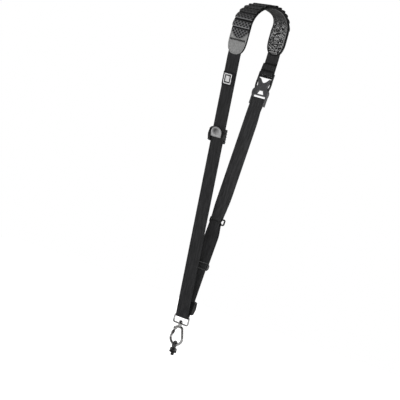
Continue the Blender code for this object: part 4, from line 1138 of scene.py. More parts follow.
@dataclass
class ShoulderPad:
    """The arched pad: lining, cushion, stitched loops of webbing, taped edge and two leather tips."""

    arch: PadArch
    binding: float = 2 * MM
    loop_pitch: float = 14 * MM
    loop_low: float = 1.2 * MM
    loop_high: float = 2.8 * MM
    loop_edge: float = 0.5 * MM
    loop_ply: float = 0.8 * MM
    # pale_loops: the lowest loops, with full pale lips and no painted shade; crown_shade: how dark painted shade makes
    # the loops nearer the crown.
    pale_loops: int = 2
    crown_shade: float = 0.75
    leather_thick: float = 1.5 * MM
    leather_centre: float = 28 * MM
    leather_side: float = 40 * MM
    strap_insert: float = 20 * MM
    bar_tack: float = 25 * MM
    puff: float = 0.4 * MM
    held_swell: float = 0.35
    cloth_mass: float = 0.02
    cloth_pressure: float = 14.0
    cloth_frames: int = 20
    cloth_cap: float = 0.9 * MM
    # Above fleck_top the lining's pale flecks fade out over fleck_fade: painted shade on its upper part.
    fleck_top: float = -22 * MM
    fleck_fade: float = 16 * MM

    @property
    def loop_count(self) -> int:
        """How many loops lie on each half of the pad."""
        return int(((self.arch.end - self.arch.start) / 2 - self.leather_side) // self.loop_pitch)

    def tack_lines(self) -> list[float]:
        """Where the rows of tacks cross the pad, from its front to its back."""
        steps = range(-self.loop_count, self.loop_count + 1)
        return [self.arch.middle + k * self.loop_pitch for k in steps]

    def leather_reach(self, across: float) -> float:
        """How far a leather tip runs up the pad, least at the pad's middle line."""
        return self.leather_centre + (self.leather_side - self.leather_centre) * across**2

    def swell(self, s: float) -> float:
        """The share by which the cushion stands up between two rows of tacks."""
        share = abs(s - self.arch.middle) / self.loop_pitch
        if share > self.loop_count + 0.02:
            return 0.6
        return abs(math.sin(math.pi * share)) ** 0.6

    def band(
        self, stock: Stock, rows: Sequence[Flat], low: float, high: float,
        puff: Flat = (0.0, 0.0), rim: float = 0.4 * MM,
    ) -> None:
        """Add a closed band over the pad with rounded edges.

        Args:
            stock: The piece that it is added to.
            rows: Rows of (place along, half width).
            low: The height of its underside.
            high: The height of its top.
            puff: How far its underside and its top stand out between the tacks.
            rim: How far in its edges are rounded.
        """
        section = strip_section(24, 3)
        last, around = len(rows) - 1, len(section) - 1
        middle, half_thick = (low + high) / 2, (high - low) / 2

        def place(u: float, v: float) -> tuple[Vector, Flat]:
            """The point on the band's skin."""
            flat, edge, level = section[round(u * around)]
            s, half = rows[round(v * last)]
            inner = max(half - rim, half * 0.4)
            x = flat * inner + edge * (half - inner)
            crown = (1 - min(1.0, abs(flat)) ** 6) * self.swell(s)
            t = middle + level * half_thick + (puff[1] if level > 0 else -puff[0]) * abs(level) * crown
            near_end = min(s - rows[0][0], rows[-1][0] - s) < 1.2 * MM
            pressed = 1.0 if half - abs(x) < 0.9 * MM or near_end else 0.0
            point = self.arch.point(x, s, t)
            # Painted shade: darker towards the lining's top, where its flecks fade out.
            smooth = (point.z - self.fleck_top) / self.fleck_fade
            return point, (x, s), pressed, min(1.0, max(0.0, smooth))

        stock.skin(around, last, place)

    def make_lining(self) -> None:
        """The quilted mesh lining that lies on the shoulder."""
        stock = Stock()
        rows = self.arch.rows(self.binding + GAP, 1.75 * MM)
        self.band(stock, rows, self.arch.lining_low, self.arch.lining_top, (self.puff, 0.0))
        piece = stock.publish("air_mesh_lining", LINING, nodes=["pad_lining"], sharp=70)
        self.inflate(piece)

    def inflate(self, piece: bpy.types.Object) -> None:
        """Swell the lining between its seams by cloth simulation, and keep the result.

        Args:
            piece: The lining, whose rim, seams and hidden side are held.
        """
        mesh, scene = piece.data, bpy.context.scene
        plan, edge = mesh.attributes["plan"].data, mesh.attributes["edge"].data
        held = []
        for vert in mesh.vertices:
            x, s, _ = plan[vert.index].vector
            hidden = vert.normal.dot(self.arch.out(x, s)) > -0.3
            if hidden or edge[vert.index].value > 0 or self.swell(s) < self.held_swell:
                held.append(vert.index)
        piece.vertex_groups.new(name="held").add(held, 1.0, "REPLACE")
        step = piece.modifiers.new("cloth", "CLOTH")
        step.settings.vertex_group_mass = "held"
        step.settings.quality = 6
        step.settings.mass = self.cloth_mass
        step.settings.use_pressure = True
        step.settings.uniform_pressure_force = self.cloth_pressure
        step.settings.shrink_min = -0.05
        step.settings.effector_weights.gravity = 0.0
        step.point_cache.frame_end = self.cloth_frames
        for frame_number in range(1, self.cloth_frames + 1):
            scene.frame_set(frame_number)
        graph = bpy.context.evaluated_depsgraph_get()
        swollen = [vert.co.copy() for vert in piece.evaluated_get(graph).data.vertices]
        piece.modifiers.remove(step)
        piece.vertex_groups.clear()
        scene.frame_set(1)
        most = 0.0
        for vert, spot in zip(mesh.vertices, swollen):
            move = spot - vert.co
            most = max(most, move.length)
            if move.length > self.cloth_cap:
                move *= self.cloth_cap / move.length
            vert.co += move
        LOG.info("%s: swelled by up to %.2f mm", piece.name, most / MM)

    def make_cushion(self) -> None:
        """The foam cushion between the lining and the webbing loops."""
        stock = Stock()
        cut = self.strap_insert + GAP
        rows = [
            row for row in self.arch.rows(self.binding + GAP, 1.75 * MM)
            if self.arch.start + cut < row[0] < self.arch.end - cut
        ]
        self.band(stock, rows, self.arch.core_low, self.arch.core_top, (0.0, 0.0), 1.0 * MM)
        piece = stock.publish("foam_cushion", FOAM, nodes=["pad_core"], sharp=70)

    def make_binding(self) -> None:
        """The tape sewn round the pad's edge, low where the straps come out of its tips."""
        outer, inner = self.arch.rows(0.0), self.arch.rows(self.binding)
        count = len(outer)
        trip = [(1, k) for k in range(count)] + [(-1, count - 1 - k) for k in range(count)]
        mouth = WEB_WIDTH / 2 + 2 * self.binding
        at_tip = (self.arch.end - self.arch.start) / 2 - self.strap_insert - GAP
        low = self.arch.lining_low + GAP
        travelled = np.cumsum([
            math.hypot(outer[k][0] - outer[k - 1][0], outer[k][1] - outer[k - 1][1]) if k else 0.0
            for k in range(count)
        ])

        def place(u: float, v: float) -> tuple[Vector, Flat]:
            """The point on the tape's skin."""
            side, k = trip[round(v * len(trip)) % len(trip)]
            turn = TURN * u
            reach = math.copysign(abs(math.cos(turn)) ** 0.6, math.cos(turn)) * 0.5 + 0.5
            rise = math.copysign(abs(math.sin(turn)) ** 0.6, math.sin(turn)) * 0.5 + 0.5
            s = inner[k][0] + (outer[k][0] - inner[k][0]) * reach
            x = side * (inner[k][1] + (outer[k][1] - inner[k][1]) * reach)
            open_here = abs(s - self.arch.middle) > at_tip and abs(x) < mouth
            top = self.arch.core_low if open_here else self.arch.core_top
            run = travelled[k] * side
            return self.arch.point(x, s, low + (top - low) * rise), (u * 10 * MM, float(run))

        stock = Stock()
        stock.skin(16, len(trip), place)
        stock.publish("edge_binding", TAPE, nodes=["pad_binding"], sharp=70)
        self.sew_binding(outer)

    def sew_binding(self, outer: Sequence[Flat]) -> None:
        """A row of stitches under the tape, all the way round."""
        stock = Stock()
        inset = self.arch.rows(self.binding * 0.62, 1.6 * MM)
        low = self.arch.lining_low + GAP
        for side in (-1, 1):
            line = [(side * half, s) for s, half in inset]
            for start, end in self.spaced(line, 2.6 * MM, 1.8 * MM):
                points = [self.arch.point(x, s, low) for x, s in (start, end)]
                stock.stitch(*points, -self.arch.out(*start), 0.24 * MM)
        stock.publish("binding_stitches", THREAD, sharp=180)

    @staticmethod
    def spaced(line: Sequence[Flat], pitch: float, length: float) -> list[tuple[Flat, Flat]]:
        """Stitch ends along a drawn line.

        Args:
            line: The line's points.
            pitch: From one stitch's start to the next one's.
            length: How long a stitch is.

        Returns:
            A start and an end for each stitch.
        """
        steps = [math.hypot(b[0] - a[0], b[1] - a[1]) for a, b in zip(line, line[1:])]
        run = np.concatenate([[0.0], np.cumsum(steps)])
        xs, ys = np.array([p[0] for p in line]), np.array([p[1] for p in line])
        pairs = []
        for k in range(int((run[-1] - length) // pitch) + 1):
            ends = (k * pitch, k * pitch + length)
            pairs.append(tuple((float(np.interp(e, run, xs)), float(np.interp(e, run, ys))) for e in ends))
        return pairs

    def loop_path(self) -> list[tuple[float, float, float, float]]:
        """The loops' webbing in side view: each swells away from the pad's middle to a folded lip.

        Returns:
            Rows of place along, height of the webbing's middle over the cover, the lip's pale mark (rubbed wear and a
            painted highlight) and painted shade (the shadow under each lip and a darker crown).
        """
        # Fold rows: place along and height, the lip's pale mark (rubbed wear and a painted highlight where the lip
        # catches light) and painted shadow under the lip.
        fold = [
            (0.9, 0.5, 0, 1), (1.7, 0.62, 0, 1), (2.8, 0.88, 0, 0.95), (3.7, 1.1, 0, 0.8),
            (4.6, 1.34, 0, 0.2), (5.8, 1.68, 0, 0), (7.4, 2.08, 0, 0), (9.0, 2.42, 0, 0),
            (10.4, 2.66, 0, 0), (11.6, 2.78, 0, 0), (12.5, 2.76, 0, 0), (13.2, 2.6, 0.5, 0),
            (13.75, 2.3, 1, 0), (14.05, 1.92, 0.6, 0), (14.1, 1.52, 0, 0.7), (13.95, 1.2, 0, 1), (13.7, 0.95, 0, 1),
            (13.5, 0.72, 0, 1), (13.6, 0.52, 0, 1), (14.1, 0.45, 0, 1),
        ]
        lift = (self.loop_high - self.loop_low) / (1.6 * MM)
        low_loop = self.loop_count - self.pale_loops
        side = [(0.0, 0.5 * MM, 0.0, 0.3)]
        # Painted shade on the loops above the lowest pale_loops, darker towards the crown; their lips' pale mark is cut
        # to 0.7.
        side += [
            (
                self.loop_pitch * k + along * self.loop_pitch / 14, height * lift * MM,
                wear * (1.0 if k >= low_loop else 0.7),
                max(shade, self.crown_shade * min(1.0, (self.loop_count - 1 - k) / self.pale_loops)),
            )
            for k in range(self.loop_count)
            for along, height, wear, shade in fold
        ]
        base = self.loop_pitch * self.loop_count
        # The flat run after the last lip, with painted shadow under that lip.
        side += [
            (base + along * MM, height * MM, 0.0, shade)
            for along, height, shade in ((0.9, 0.5, 1), (1.7, 0.62, 1), (2.6, 0.74, 0.9), (3.6, 0.8, 0.3), (5.0, 0.8, 0))
        ]
        front = [(self.arch.middle - along, *rest) for along, *rest in reversed(side[1:])]
        return front + [(self.arch.middle + along, *rest) for along, *rest in side]

    def make_loops(self) -> None:
        """The wide webbing that is tacked down in a row of loops over the pad."""
        rows = self.loop_path()
        section = strip_section(12, 3)
        around, tail = len(section) - 1, 12
        last = len(rows) + 2 * tail - 1
        ends = (rows[0][0], rows[-1][0])
        half, rim = self.arch.width / 2 - self.loop_edge, 0.4 * MM
        run = np.concatenate([[0.0], np.cumsum([math.dist(a[:2], b[:2]) for a, b in zip(rows, rows[1:])])])

        def spot(k: int, x: float) -> tuple[float, float, float, float]:
            """A row's place, height and marks; past the ends it runs on to the leather."""
            if 0 <= k < len(rows):
                return rows[k]
            reach = self.leather_reach(x / half) + GAP
            if k < 0:
                share, start, stop = -k / tail, ends[0], self.arch.start + reach
            else:
                share, start, stop = (k - len(rows) + 1) / tail, ends[1], self.arch.end - reach
            return start + (stop - start) * min(1.0, share), rows[0][1], 0.0, 0.0

        def place(u: float, v: float) -> tuple:
            """The point on the webbing's skin."""
            flat, edge, level = section[round(u * around)]
            x = flat * (half - rim) + edge * rim
            k = round(v * last) - tail
            s, height, wear, shade = spot(k, x)
            before, after = spot(max(k - 1, -tail), x), spot(min(k + 1, len(rows) + tail - 1), x)
            way = Vector((after[0] - before[0], after[1] - before[1])).normalized()
            out = level * self.loop_ply / 2
            height += self.arch.cover
            along = float(run[min(max(k, 0), len(rows) - 1)])
            if k < 0 or k >= len(rows):
                along += s - (ends[0] if k < 0 else ends[1])
            point = self.arch.point(x, s - way.y * out, height + way.x * out)
            # The lip's pale mark (rubbed wear and a painted highlight) goes on the outer face only; the shade is
            # painted shadow.
            return point, (x, along), wear if level > 0 else 0.0, shade

        stock = Stock()
        stock.skin(around, last, place)
        stock.publish("loop_webbing", LOOP_WEBBING, nodes=["pad_loops"], sharp=60)
        self.tack_loops()

    def tack_loops(self) -> None:
        """A close row of tacks under each lip, where the webbing is sewn down."""
        stock = Stock()
        half = self.arch.width / 2 - self.loop_edge - 0.9 * MM
        lift = self.arch.cover + 0.95 * MM
        count = 20
        for line in self.tack_lines():
            away = 1 if line > self.arch.middle else -1
            s = line + away * 1.3 * MM
            for k in range(count):
                x = -half + 2 * half * (k + 0.5) / count
                lean = 0.35 * MM * (1 if k % 2 else -1)
                ends = [self.arch.point(x + lean * w, s + 0.5 * MM * w, lift) for w in (-1, 1)]
                stock.stitch(*ends, self.arch.out(x, s), 0.22 * MM)
        stock.publish("loop_tacks", THREAD, sharp=180)

    def make_tip(self, name: str, node: str, front: bool) -> None:
        """A leather patch on one tip, with a hollow top edge and two rows of stitches.

        Args:
            name: The piece's name.
            node: The model's node that it stands for.
            front: Whether it is the front tip.
        """
        end, inward = (self.arch.start, 1) if front else (self.arch.end, -1)
        plan = self.arch.rows(self.loop_edge, 2 * MM)
        places, halves = [row[0] for row in plan], [row[1] for row in plan]
        last_place = places[0] if inward > 0 else places[-1]
        section = strip_section(14, 3)
        around, last = len(section) - 1, 34
        half_thick, rim = self.leather_thick / 2, 0.6 * MM
        middle = self.arch.cover + half_thick

        def plan_at(across: float, share: float) -> Flat:
            """The flat place at a share of the width and of the way to the tip."""
            top = end + inward * self.leather_reach(across)
            s = top + (last_place - top) * share
            return across * float(np.interp(s, places, halves)), s

        def place(u: float, v: float) -> tuple[Vector, Flat]:
            """The point on the leather's skin."""
            flat, edge, level = section[round(u * around)]
            half = self.arch.width / 2 - self.loop_edge
            across = flat * (1 - rim / half) + edge * rim / half
            share = 1 - (1 - v) ** 1.5
            x, s = plan_at(across, share)
            ends = min(v, 1 - v) * last / 2
            flatten = math.sqrt(1 - (1 - min(1.0, ends)) ** 2) * 0.6 + 0.4
            return self.arch.point(x, s, middle + level * half_thick * flatten), (x, s)

        stock = Stock()
        stock.skin(around, last, place)
        stock.publish(name, LEATHER, nodes=[node], sharp=75, hard=True)
        self.sew_tip(name + "_stitches", end, inward, plan)

    def sew_tip(self, name: str, end: float, inward: int, plan: Sequence[Flat]) -> None:
        """Stitches round a leather tip and a closer row across it.

        Args:
            name: The stitches' name.
            end: Where the tip ends along the pad.
            inward: Which way the pad lies from there.
            plan: The tip's outline, as rows of (place along, half width); not used.
        """
        stock = Stock()
        top = self.arch.cover + self.leather_thick
        half = self.arch.width / 2 - self.loop_edge
        inset = self.arch.rows(self.loop_edge + 2.1 * MM, 2 * MM)
        near = sorted(inset, key=lambda row: inward * row[0])
        reach = [row for row in near if inward * (row[0] - end) < self.leather_side - 6 * MM]
        border = [(-w, s) for s, w in reversed(reach)] + [(w, s) for s, w in reach]
        for start, stop in self.spaced(border, 2.5 * MM, 1.7 * MM):
            points = [self.arch.point(x, s, top) for x, s in (start, stop)]
            stock.stitch(*points, self.arch.out(*start), 0.22 * MM)
        stock.publish(name, TIP_THREAD, sharp=180)
        bars = Stock()
        line = end + inward * self.bar_tack
        count = 23
        for k in range(count):
            x = (half - 2.4 * MM) * (2 * k / (count - 1) - 1)
            lean = 0.5 * MM * (1 if k % 2 else -1)
            points = [self.arch.point(x + lean * w, line + 2.1 * MM * w, top) for w in (-1, 1)]
            bars.stitch(*points, self.arch.out(x, line), 0.58 * MM)
        bars.publish(name.replace("stitches", "bar_tack"), THREAD, sharp=180)

    def build(self) -> None:
        """Make the whole pad."""
        self.make_lining()
        self.make_cushion()
        self.make_binding()
        self.make_loops()
        self.make_tip("leather_patch_front", "leather_tip_front", True)
        self.make_tip("leather_patch_back", "leather_tip_back", False)


# The straps


@dataclass
class Webbing:
    """The three lengths of webbing, threaded through the ring, the adjuster and the buckle."""

    slider_height: float = -458.3 * MM
    loop_height: float = -376.8 * MM
    buckle_height: float = -119.8 * MM
    insert: float = 20 * MM
    tail: float = 22 * MM
    slider_spread: float = 5.2 * MM
    slider_bar: float = 1.1 * MM
    slider_offset: float = 3.8 * MM
    loop_wire: float = 1.4 * MM
    loop_half: float = 4.6 * MM
    loop_slack: float = 0.8 * MM
    plug_bar: float = 12.4 * MM
    socket_bar: float = -35.2 * MM
    bar_radius: float = 1.7 * MM
    pinch: float = 2.4 * MM
    pinch_shift: float = 1.6 * MM
    pinch_length: float = 30 * MM
    selvedge: float = 0.7 * MM
    tail_drift: float = -1.0 * MM
    middle_twist: float = math.radians(22)
    twist_start: float = 32 * MM
    twist_ease: float = 48 * MM
    twist_shift: float = 3.2 * MM

    @property
    def slider_wrap(self) -> float:
        """The radius at which webbing turns round a bar of the slider."""
        return self.slider_bar + GAP + WEB_THICK / 2

    @property
    def slider_middle_out(self) -> float:
        """How far the slider's middle bar lies out of the strap."""
        return self.slider_offset - self.slider_wrap

    @property
    def loop_out(self) -> float:
        """How far the wire loop lies out of the strap."""
        return self.loop_wire + GAP + WEB_THICK / 2

    def ribbon(
        self, name: str, node: str, points: Sequence[Flat], pinch: Flat | None = None,
        painted_shadows: Sequence[Flat] = (), drift: float = 0.0, twist: float = 0.0,
        finish: Finish | None = None,
    ) -> None:
        """Run webbing along a path.

        Args:
            name: The piece's name.
            node: The model's node that it stands for.
            points: Its middle line, as (y, z).
            pinch: Where a loop draws it in, if one does.
            painted_shadows: Spots near which shade is painted in, darkening the webbing as shadow.
            drift: How far sideways its last tail lies.
            twist: How far its free run turns about its own length.
            finish: Its finish, where it isn't the plain one.
        """
        path = self.eased(divided(points, 2.6 * MM))
        section = strip_section(10, 3)
        around, last = len(section) - 1, len(path) - 1
        run = np.concatenate([[0.0], np.cumsum([math.dist(a, b) for a, b in zip(path, path[1:])])])

        def place(u: float, v: float) -> tuple[Vector, Flat]:
            """The point on the webbing's skin."""
            flat, edge, level = section[round(u * around)]
            k = round(v * last)
            y, z = path[k]
            before, after = path[max(k - 1, 0)], path[min(k + 1, last)]
            way = Vector((after[0] - before[0], after[1] - before[1])).normalized()
            tight = 0.0
            if pinch:
                away = min(1.0, math.dist((y, z), pinch) / self.pinch_length)
                tight = 0.5 + 0.5 * math.cos(math.pi * away)
            half = WEB_WIDTH / 2 - self.pinch * tight
            aside = self.pinch_shift * tight - drift * min(1.0, max(0.0, (run[k] - run[-1] + self.tail) / (8 * MM)))
            x = flat * (half - self.selvedge) + edge * self.selvedge - aside
            free = min(1.0, max(0.0, (min(run[k], run[-1] - run[k]) - self.twist_start) / self.twist_ease))
            turn = twist * free * free * (3 - 2 * free)
            out = level * WEB_THICK / 2 * math.cos(turn) + x * math.sin(turn)
            x = x * math.cos(turn) - level * WEB_THICK / 2 * math.sin(turn) + self.twist_shift * turn
            spot = Vector((x, y - way.y * out, z + way.x * out))
            # Painted shade: the webbing darkens near each of these spots, standing in for shadow.
            near = min((math.dist((y, z), shadow_spot) for shadow_spot in painted_shadows), default=1.0)
            shade = min(1.0, max(0.0, 1.9 - near / (1.4 * MM)))
            wide = WEB_WIDTH / 2 - self.selvedge
            return spot, (flat * wide + edge * self.selvedge, float(run[k])), 0.0, shade

        stock = Stock()
        stock.skin(around, last, place)
        stock.publish(name, finish or WEBBING, nodes=[node], sharp=60)

    @staticmethod
    def eased(path: Sequence[Flat], passes: int = 3) -> list[Flat]:
        """The same path with the kinks between its long runs eased."""
        now = [Vector(point) for point in path]
        for _ in range(passes):
            old = [point.copy() for point in now]
            for k in range(1, len(now) - 1):
                back, on = (old[k] - old[k - 1]).length, (old[k + 1] - old[k]).length
                if min(back, on) > 1.8 * MM and abs(back - on) < 0.6 * MM:
                    now[k] = old[k] * 0.5 + (old[k - 1] + old[k + 1]) * 0.25
        return [tuple(point) for point in now]

    def sew_tails(self, tail_end: float, wrap: float) -> None:
        """Sew the top strap's folded tail down with a box of stitches and two crossing rows.

        Args:
            tail_end: Where the tail ends, up the strap from the buckle.
            wrap: The radius at which the webbing turns round the buckle's bar.
        """
        stock = Stock()
        seat = strap_frame(Side.BACK, self.buckle_height)
        normal = (seat.to_3x3() @ Vector((0, 0, -1))).normalized()
        half = WEB_WIDTH / 2 - 2.4 * MM
        low, high = self.plug_bar + 5.6 * MM, tail_end - 1.9 * MM

        def on_tail(x: float, y: float) -> Vector:
            """A point on the tail's face."""
            share = (y - self.plug_bar) / (tail_end - self.plug_bar)
            out = wrap + (PLY / 2 - wrap) * share + WEB_THICK / 2
            return seat @ Vector((x - self.tail_drift, y, -out))

        corners = [(-half, low), (half, low), (half, high), (-half, high), (-half, low)]
        for line in (corners, [(-half, low), (half, high)], [(-half, high), (half, low)]):
            for start, end in ShoulderPad.spaced(line, 2.3 * MM, 1.6 * MM):
                stock.stitch(on_tail(*start), on_tail(*end), normal, 0.24 * MM)
        stock.publish("tail_stitches", THREAD, sharp=180)

    def build(self) -> None:
        """Make the three straps and their stitches."""
        spread, bar = self.slider_spread, -self.slider_wrap
        pinch = on_strap(Side.BACK, self.loop_height, 0, self.loop_out)
        fold = self.loop_half - self.loop_slack
        buckle_wrap = self.bar_radius + GAP + WEB_THICK / 2
        long_wraps: list[Wrap] = [
            (TIP_FRONT[0], TIP_FRONT[1] + self.insert, 0.0, 1),
            (TIP_FRONT[0], TIP_FRONT[1] - 1 * MM, 0.0, 1),
            RING_WRAP,
            (*on_strap(Side.BACK, self.slider_height, -spread, bar), self.slider_wrap, 1),
            (*on_strap(Side.BACK, self.slider_height, 0, self.slider_middle_out), self.slider_wrap + PLY, -1),
            (*on_strap(Side.BACK, self.slider_height, spread, bar), self.slider_wrap, 1),
            (*on_strap(Side.BACK, self.loop_height, -fold, self.loop_out), self.loop_out + self.loop_slack, -1),
            (*on_strap(Side.BACK, self.slider_height, 0, self.slider_middle_out), self.slider_wrap, -1),
        ]
        self.ribbon("long_strap", "webbing_long", thread_through(long_wraps, math.radians(235)), pinch)
        tail_out = PLY - buckle_wrap * 0.85
        middle_wraps: list[Wrap] = [
            (*on_strap(Side.BACK, self.buckle_height, self.socket_bar - self.tail, tail_out), 0.0, 1),
            (*on_strap(Side.BACK, self.buckle_height, self.socket_bar, 0), buckle_wrap, 1),
            (*on_strap(Side.BACK, self.loop_height, fold, self.loop_out), self.loop_out + self.loop_slack, 1),
            (*on_strap(Side.BACK, self.loop_height, self.loop_half + self.tail, PLY), 0.0, 1),
        ]
        middle = thread_through(middle_wraps)
        self.ribbon("middle_strap", "webbing_middle", middle, pinch, twist=self.middle_twist, finish=WEBBING_PAINTED_LIGHTER)
        top_wraps: list[Wrap] = [
            (TIP_BACK[0], TIP_BACK[1] + self.insert, 0.0, 1),
            (TIP_BACK[0], TIP_BACK[1] - 1 * MM, 0.0, 1),
            (*on_strap(Side.BACK, self.buckle_height, self.plug_bar, 0), buckle_wrap, -1),
            (*on_strap(Side.BACK, self.buckle_height, self.plug_bar + 0.8 * self.tail, -PLY / 2), 0.0, 1),
        ]
        tail_end = self.plug_bar + 0.8 * self.tail
        # Spots where shadow is painted on the top strap: at the tail's end and by the buckle's bar.
        painted_shadows = [
            on_strap(Side.BACK, self.buckle_height, tail_end + 0.6 * MM, 0),
            on_strap(Side.BACK, self.buckle_height, self.plug_bar + 4.6 * MM, -1.5 * MM),
        ]
        self.ribbon("top_strap", "webbing_top", thread_through(top_wraps), None, painted_shadows, self.tail_drift, finish=WEBBING_PAINTED_LIGHT)
        self.sew_tails(tail_end, buckle_wrap)


# Hardware


@dataclass
class Label:
    """A cloth patch on the front strap with a bare raised border."""

    height: float = -133.8 * MM
    length: float = 23.5 * MM
    thick: float = 0.8 * MM
    border_width: float = 15 * MM
    border_length: float = 17.6 * MM
    border: float = 1.7 * MM
    border_thick: float = 0.4 * MM
    centre_width: float = 7.4 * MM
    centre_length: float = 10 * MM
    shift: float = -2.3 * MM

    def build(self) -> None:
        """Make the patch, its border and the stitches round it."""
        seat = strap_frame(Side.FRONT, self.height)
        patch_out = WEB_THICK / 2 + GAP + self.thick / 2
        half = self.length / 2
        outline = rounded_box(WEB_WIDTH / 2, -half, half, 0.8 * MM, steps=4)
        stock = Stock()
        stock.add_mesh(plate([outline], self.thick, 0.25 * MM), seat @ Matrix.Translation((0, 0, patch_out)))
        stock.map_flat(seat)
        stock.publish("woven_patch", PATCH, nodes=["label_patch"], sharp=60)
        sewing = Stock()
        normal = (seat.to_3x3() @ Vector((0, 0, 1))).normalized()
        top = patch_out + self.thick / 2
        edge_x, edge_y = WEB_WIDTH / 2 - 1.1 * MM, half - 1.1 * MM
        line = [(-edge_x, -edge_y), (edge_x, -edge_y), (edge_x, edge_y), (-edge_x, edge_y), (-edge_x, -edge_y)]
        for start, end in ShoulderPad.spaced(line, 2 * MM, 1.4 * MM):
            points = [seat @ Vector((x, y, top)) for x, y in (start, end)]
            sewing.stitch(*points, normal, 0.18 * MM)
        sewing.publish("patch_stitches", THREAD, sharp=180)
        outer = rounded_box(self.border_width / 2, -self.border_length / 2, self.border_length / 2, 1 * MM, steps=5)
        inner_x, inner_y = self.border_width / 2 - self.border, self.border_length / 2 - self.border
        inner = rounded_box(inner_x, -inner_y, inner_y, 0.5 * MM, steps=4)
        border_out = top + GAP + self.border_thick / 2
        rim = Stock()
        rim.add_mesh(
            plate([outer, inner], self.border_thick, 0.12 * MM),
            seat @ Matrix.Translation((self.shift, 0, border_out)),
        )
        core = rounded_box(self.centre_width / 2, -self.centre_length / 2, self.centre_length / 2, 0.6 * MM, steps=4)
        rim.add_mesh(
            plate([core], self.border_thick, 0.12 * MM),
            seat @ Matrix.Translation((self.shift, 0, border_out)),
        )
        rim.map_flat(seat)
        rim.publish("patch_border", WHITE, nodes=["label_border"], sharp=60)


@dataclass
class CamBumper:
    """A cam-lock stop: a body slotted for the webbing, and a lever whose cam grips it."""

    end: str
    side: Side
    height: float
    length: float = 24.7 * MM
    skirt: float = 2.4 * MM
    depth: float = 11.6 * MM
    ripple: float = 0.8 * MM
    back_thick: float = 1.6 * MM
    lever_width: float = 20.5 * MM
    lever_heel: float = 2.2 * MM
    lever_straight: float = 4.2 * MM
    lever_reach: float = 15.9 * MM
    lever_thick: float = 3.2 * MM
    lever_lean: float = math.radians(18)
    scoop: float = 7.4 * MM
    scoop_depth: float = 2.1 * MM
    scoop_shift: float = 0.5 * MM
    rib: float = 0.9 * MM
    rib_pitch: float = 4.6 * MM
    cam: float = 3 * MM
    pin: float = 1.2 * MM
    pin_depth: float = 1.8 * MM

    @property
    def slot_out(self) -> float:
        """Half of the slot's depth."""
        return WEB_THICK / 2 + GAP

    @property
    def plate_out(self) -> float:
        """How far out the back plate's far face lies."""
        return -self.slot_out - self.back_thick

    @property
    def pin_out(self) -> float:
        """How far out the pin lies."""
        return self.slot_out + self.cam + 0.2 * MM

    @property
    def cheek_in(self) -> float:
        """Where a cheek's inner face lies across the strap."""
        return self.lever_width / 2 + GAP

    def cheek_outlines(self) -> list[list[Flat]]:
        """Side view of a cheek, (out of the loop, up the strap): a rippled bow with two windows."""
        half, last = self.length / 2, 48
        bow = []
        for k in range(last + 1):
            turn = math.pi * k / last
            rise = self.depth * math.sin(turn) ** 0.6
            rise -= self.ripple * (0.5 + 0.5 * math.cos(6 * turn)) * math.sin(turn)
            bow.append((self.plate_out + rise, -half * math.cos(turn)))
        window = [(2.2, 3.4), (6.4, 3.4), (5.6, 6.6), (3.7, 9.3), (2.2, 9.8)]
        upper = softened([(x * MM, y * MM) for x, y in window], 0.8 * MM)
        return [bow, upper, [(x, -y) for x, y in reversed(upper)]]

    def make_body(self) -> None:
        """The body: a back plate and two cheeks, slotted through."""
        size = (2 * (EDGE_IN + self.skirt / 2), self.length - 2 * MM, self.back_thick)
        back = block(size, (0, 0, self.plate_out + self.back_thick / 2), 0.5 * MM)
        thick = EDGE_IN + self.skirt - self.cheek_in
        cheeks, holes = [], []
        for hand in (-1, 1):
            cheek = plate(self.cheek_outlines(), thick, 0.45 * MM, 3)
            cheek.transform(sideways(hand * (self.cheek_in + thick / 2)))
            cheek.flip_normals()
            cheeks.append(cheek)
            for k in range(-2, 3):
                reach = self.depth * (0.9 - 0.08 * abs(k))
                spot = (hand * (EDGE_IN + self.skirt - 0.35 * MM), k * self.rib_pitch, self.plate_out + reach / 2)
                cheeks.append(rod(self.rib, reach, Matrix.Translation(spot), 16))
            seat = Matrix.Translation((hand * self.cheek_in, 0, self.pin_out)) @ Matrix.Rotation(math.pi / 2, 4, "Y")
            holes.append(rod(self.pin + GAP, 2 * (self.pin_depth + GAP), seat))
        body = carve(back, cheeks, "UNION")
        slot = block((2 * EDGE_IN, 2 * self.length, 2 * self.slot_out), (0, 0, 0))
        body = carve(body, [slot, *holes])
        stock = Stock()
        stock.add_mesh(body, strap_frame(self.side, self.height))
        stock.publish(
            f"stop_body_{self.end}", BLACK, nodes=[f"bumper_body_{self.end}"], sharp=32, hard=True,
        )

    def make_lever(self) -> None:
        """The lever with its cam, its pin, a finger's scoop and painted shade in the scoop."""
        half, bow = self.lever_width / 2, self.lever_reach - self.lever_straight
        points = [(half, -self.lever_heel), (half, self.lever_straight)]
        points += [
            (half * math.cos(math.pi * k / 32), self.lever_straight + bow * math.sin(math.pi * k / 32))
            for k in range(1, 32)
        ]
        points += [(-half, self.lever_straight), (-half, -self.lever_heel)]
        board = plate([points], self.lever_thick, 0.7 * MM, 4)
        board.transform(Matrix.Translation((0, 0, self.cam - self.lever_thick / 2)))
        flat = Matrix.Rotation(math.pi / 2, 4, "Y")
        cam = rod(self.cam, self.lever_width - 0.4 * MM, flat, 40)
        pin = rod(self.pin, 2 * (self.cheek_in + self.pin_depth), flat)
        lever = carve(board, [cam, pin], "UNION")
        centre = (-self.scoop_shift, self.lever_reach / 2, self.cam + 0.5 * MM)
        dish = solid(
            lambda bm: bmesh.ops.create_uvsphere(bm, u_segments=40, v_segments=24, radius=1.0),
            Matrix.Translation(centre) @ Matrix.Diagonal((self.scoop, self.scoop * 0.92, self.scoop_depth + 0.5 * MM, 1)),
        )
        lever = carve(lever, [dish])
        stock = Stock()
        lean = Matrix.Translation((0, 0, self.pin_out)) @ Matrix.Rotation(self.lever_lean, 4, "X")
        seat = strap_frame(self.side, self.height) @ lean
        stock.add_mesh(lever, seat)
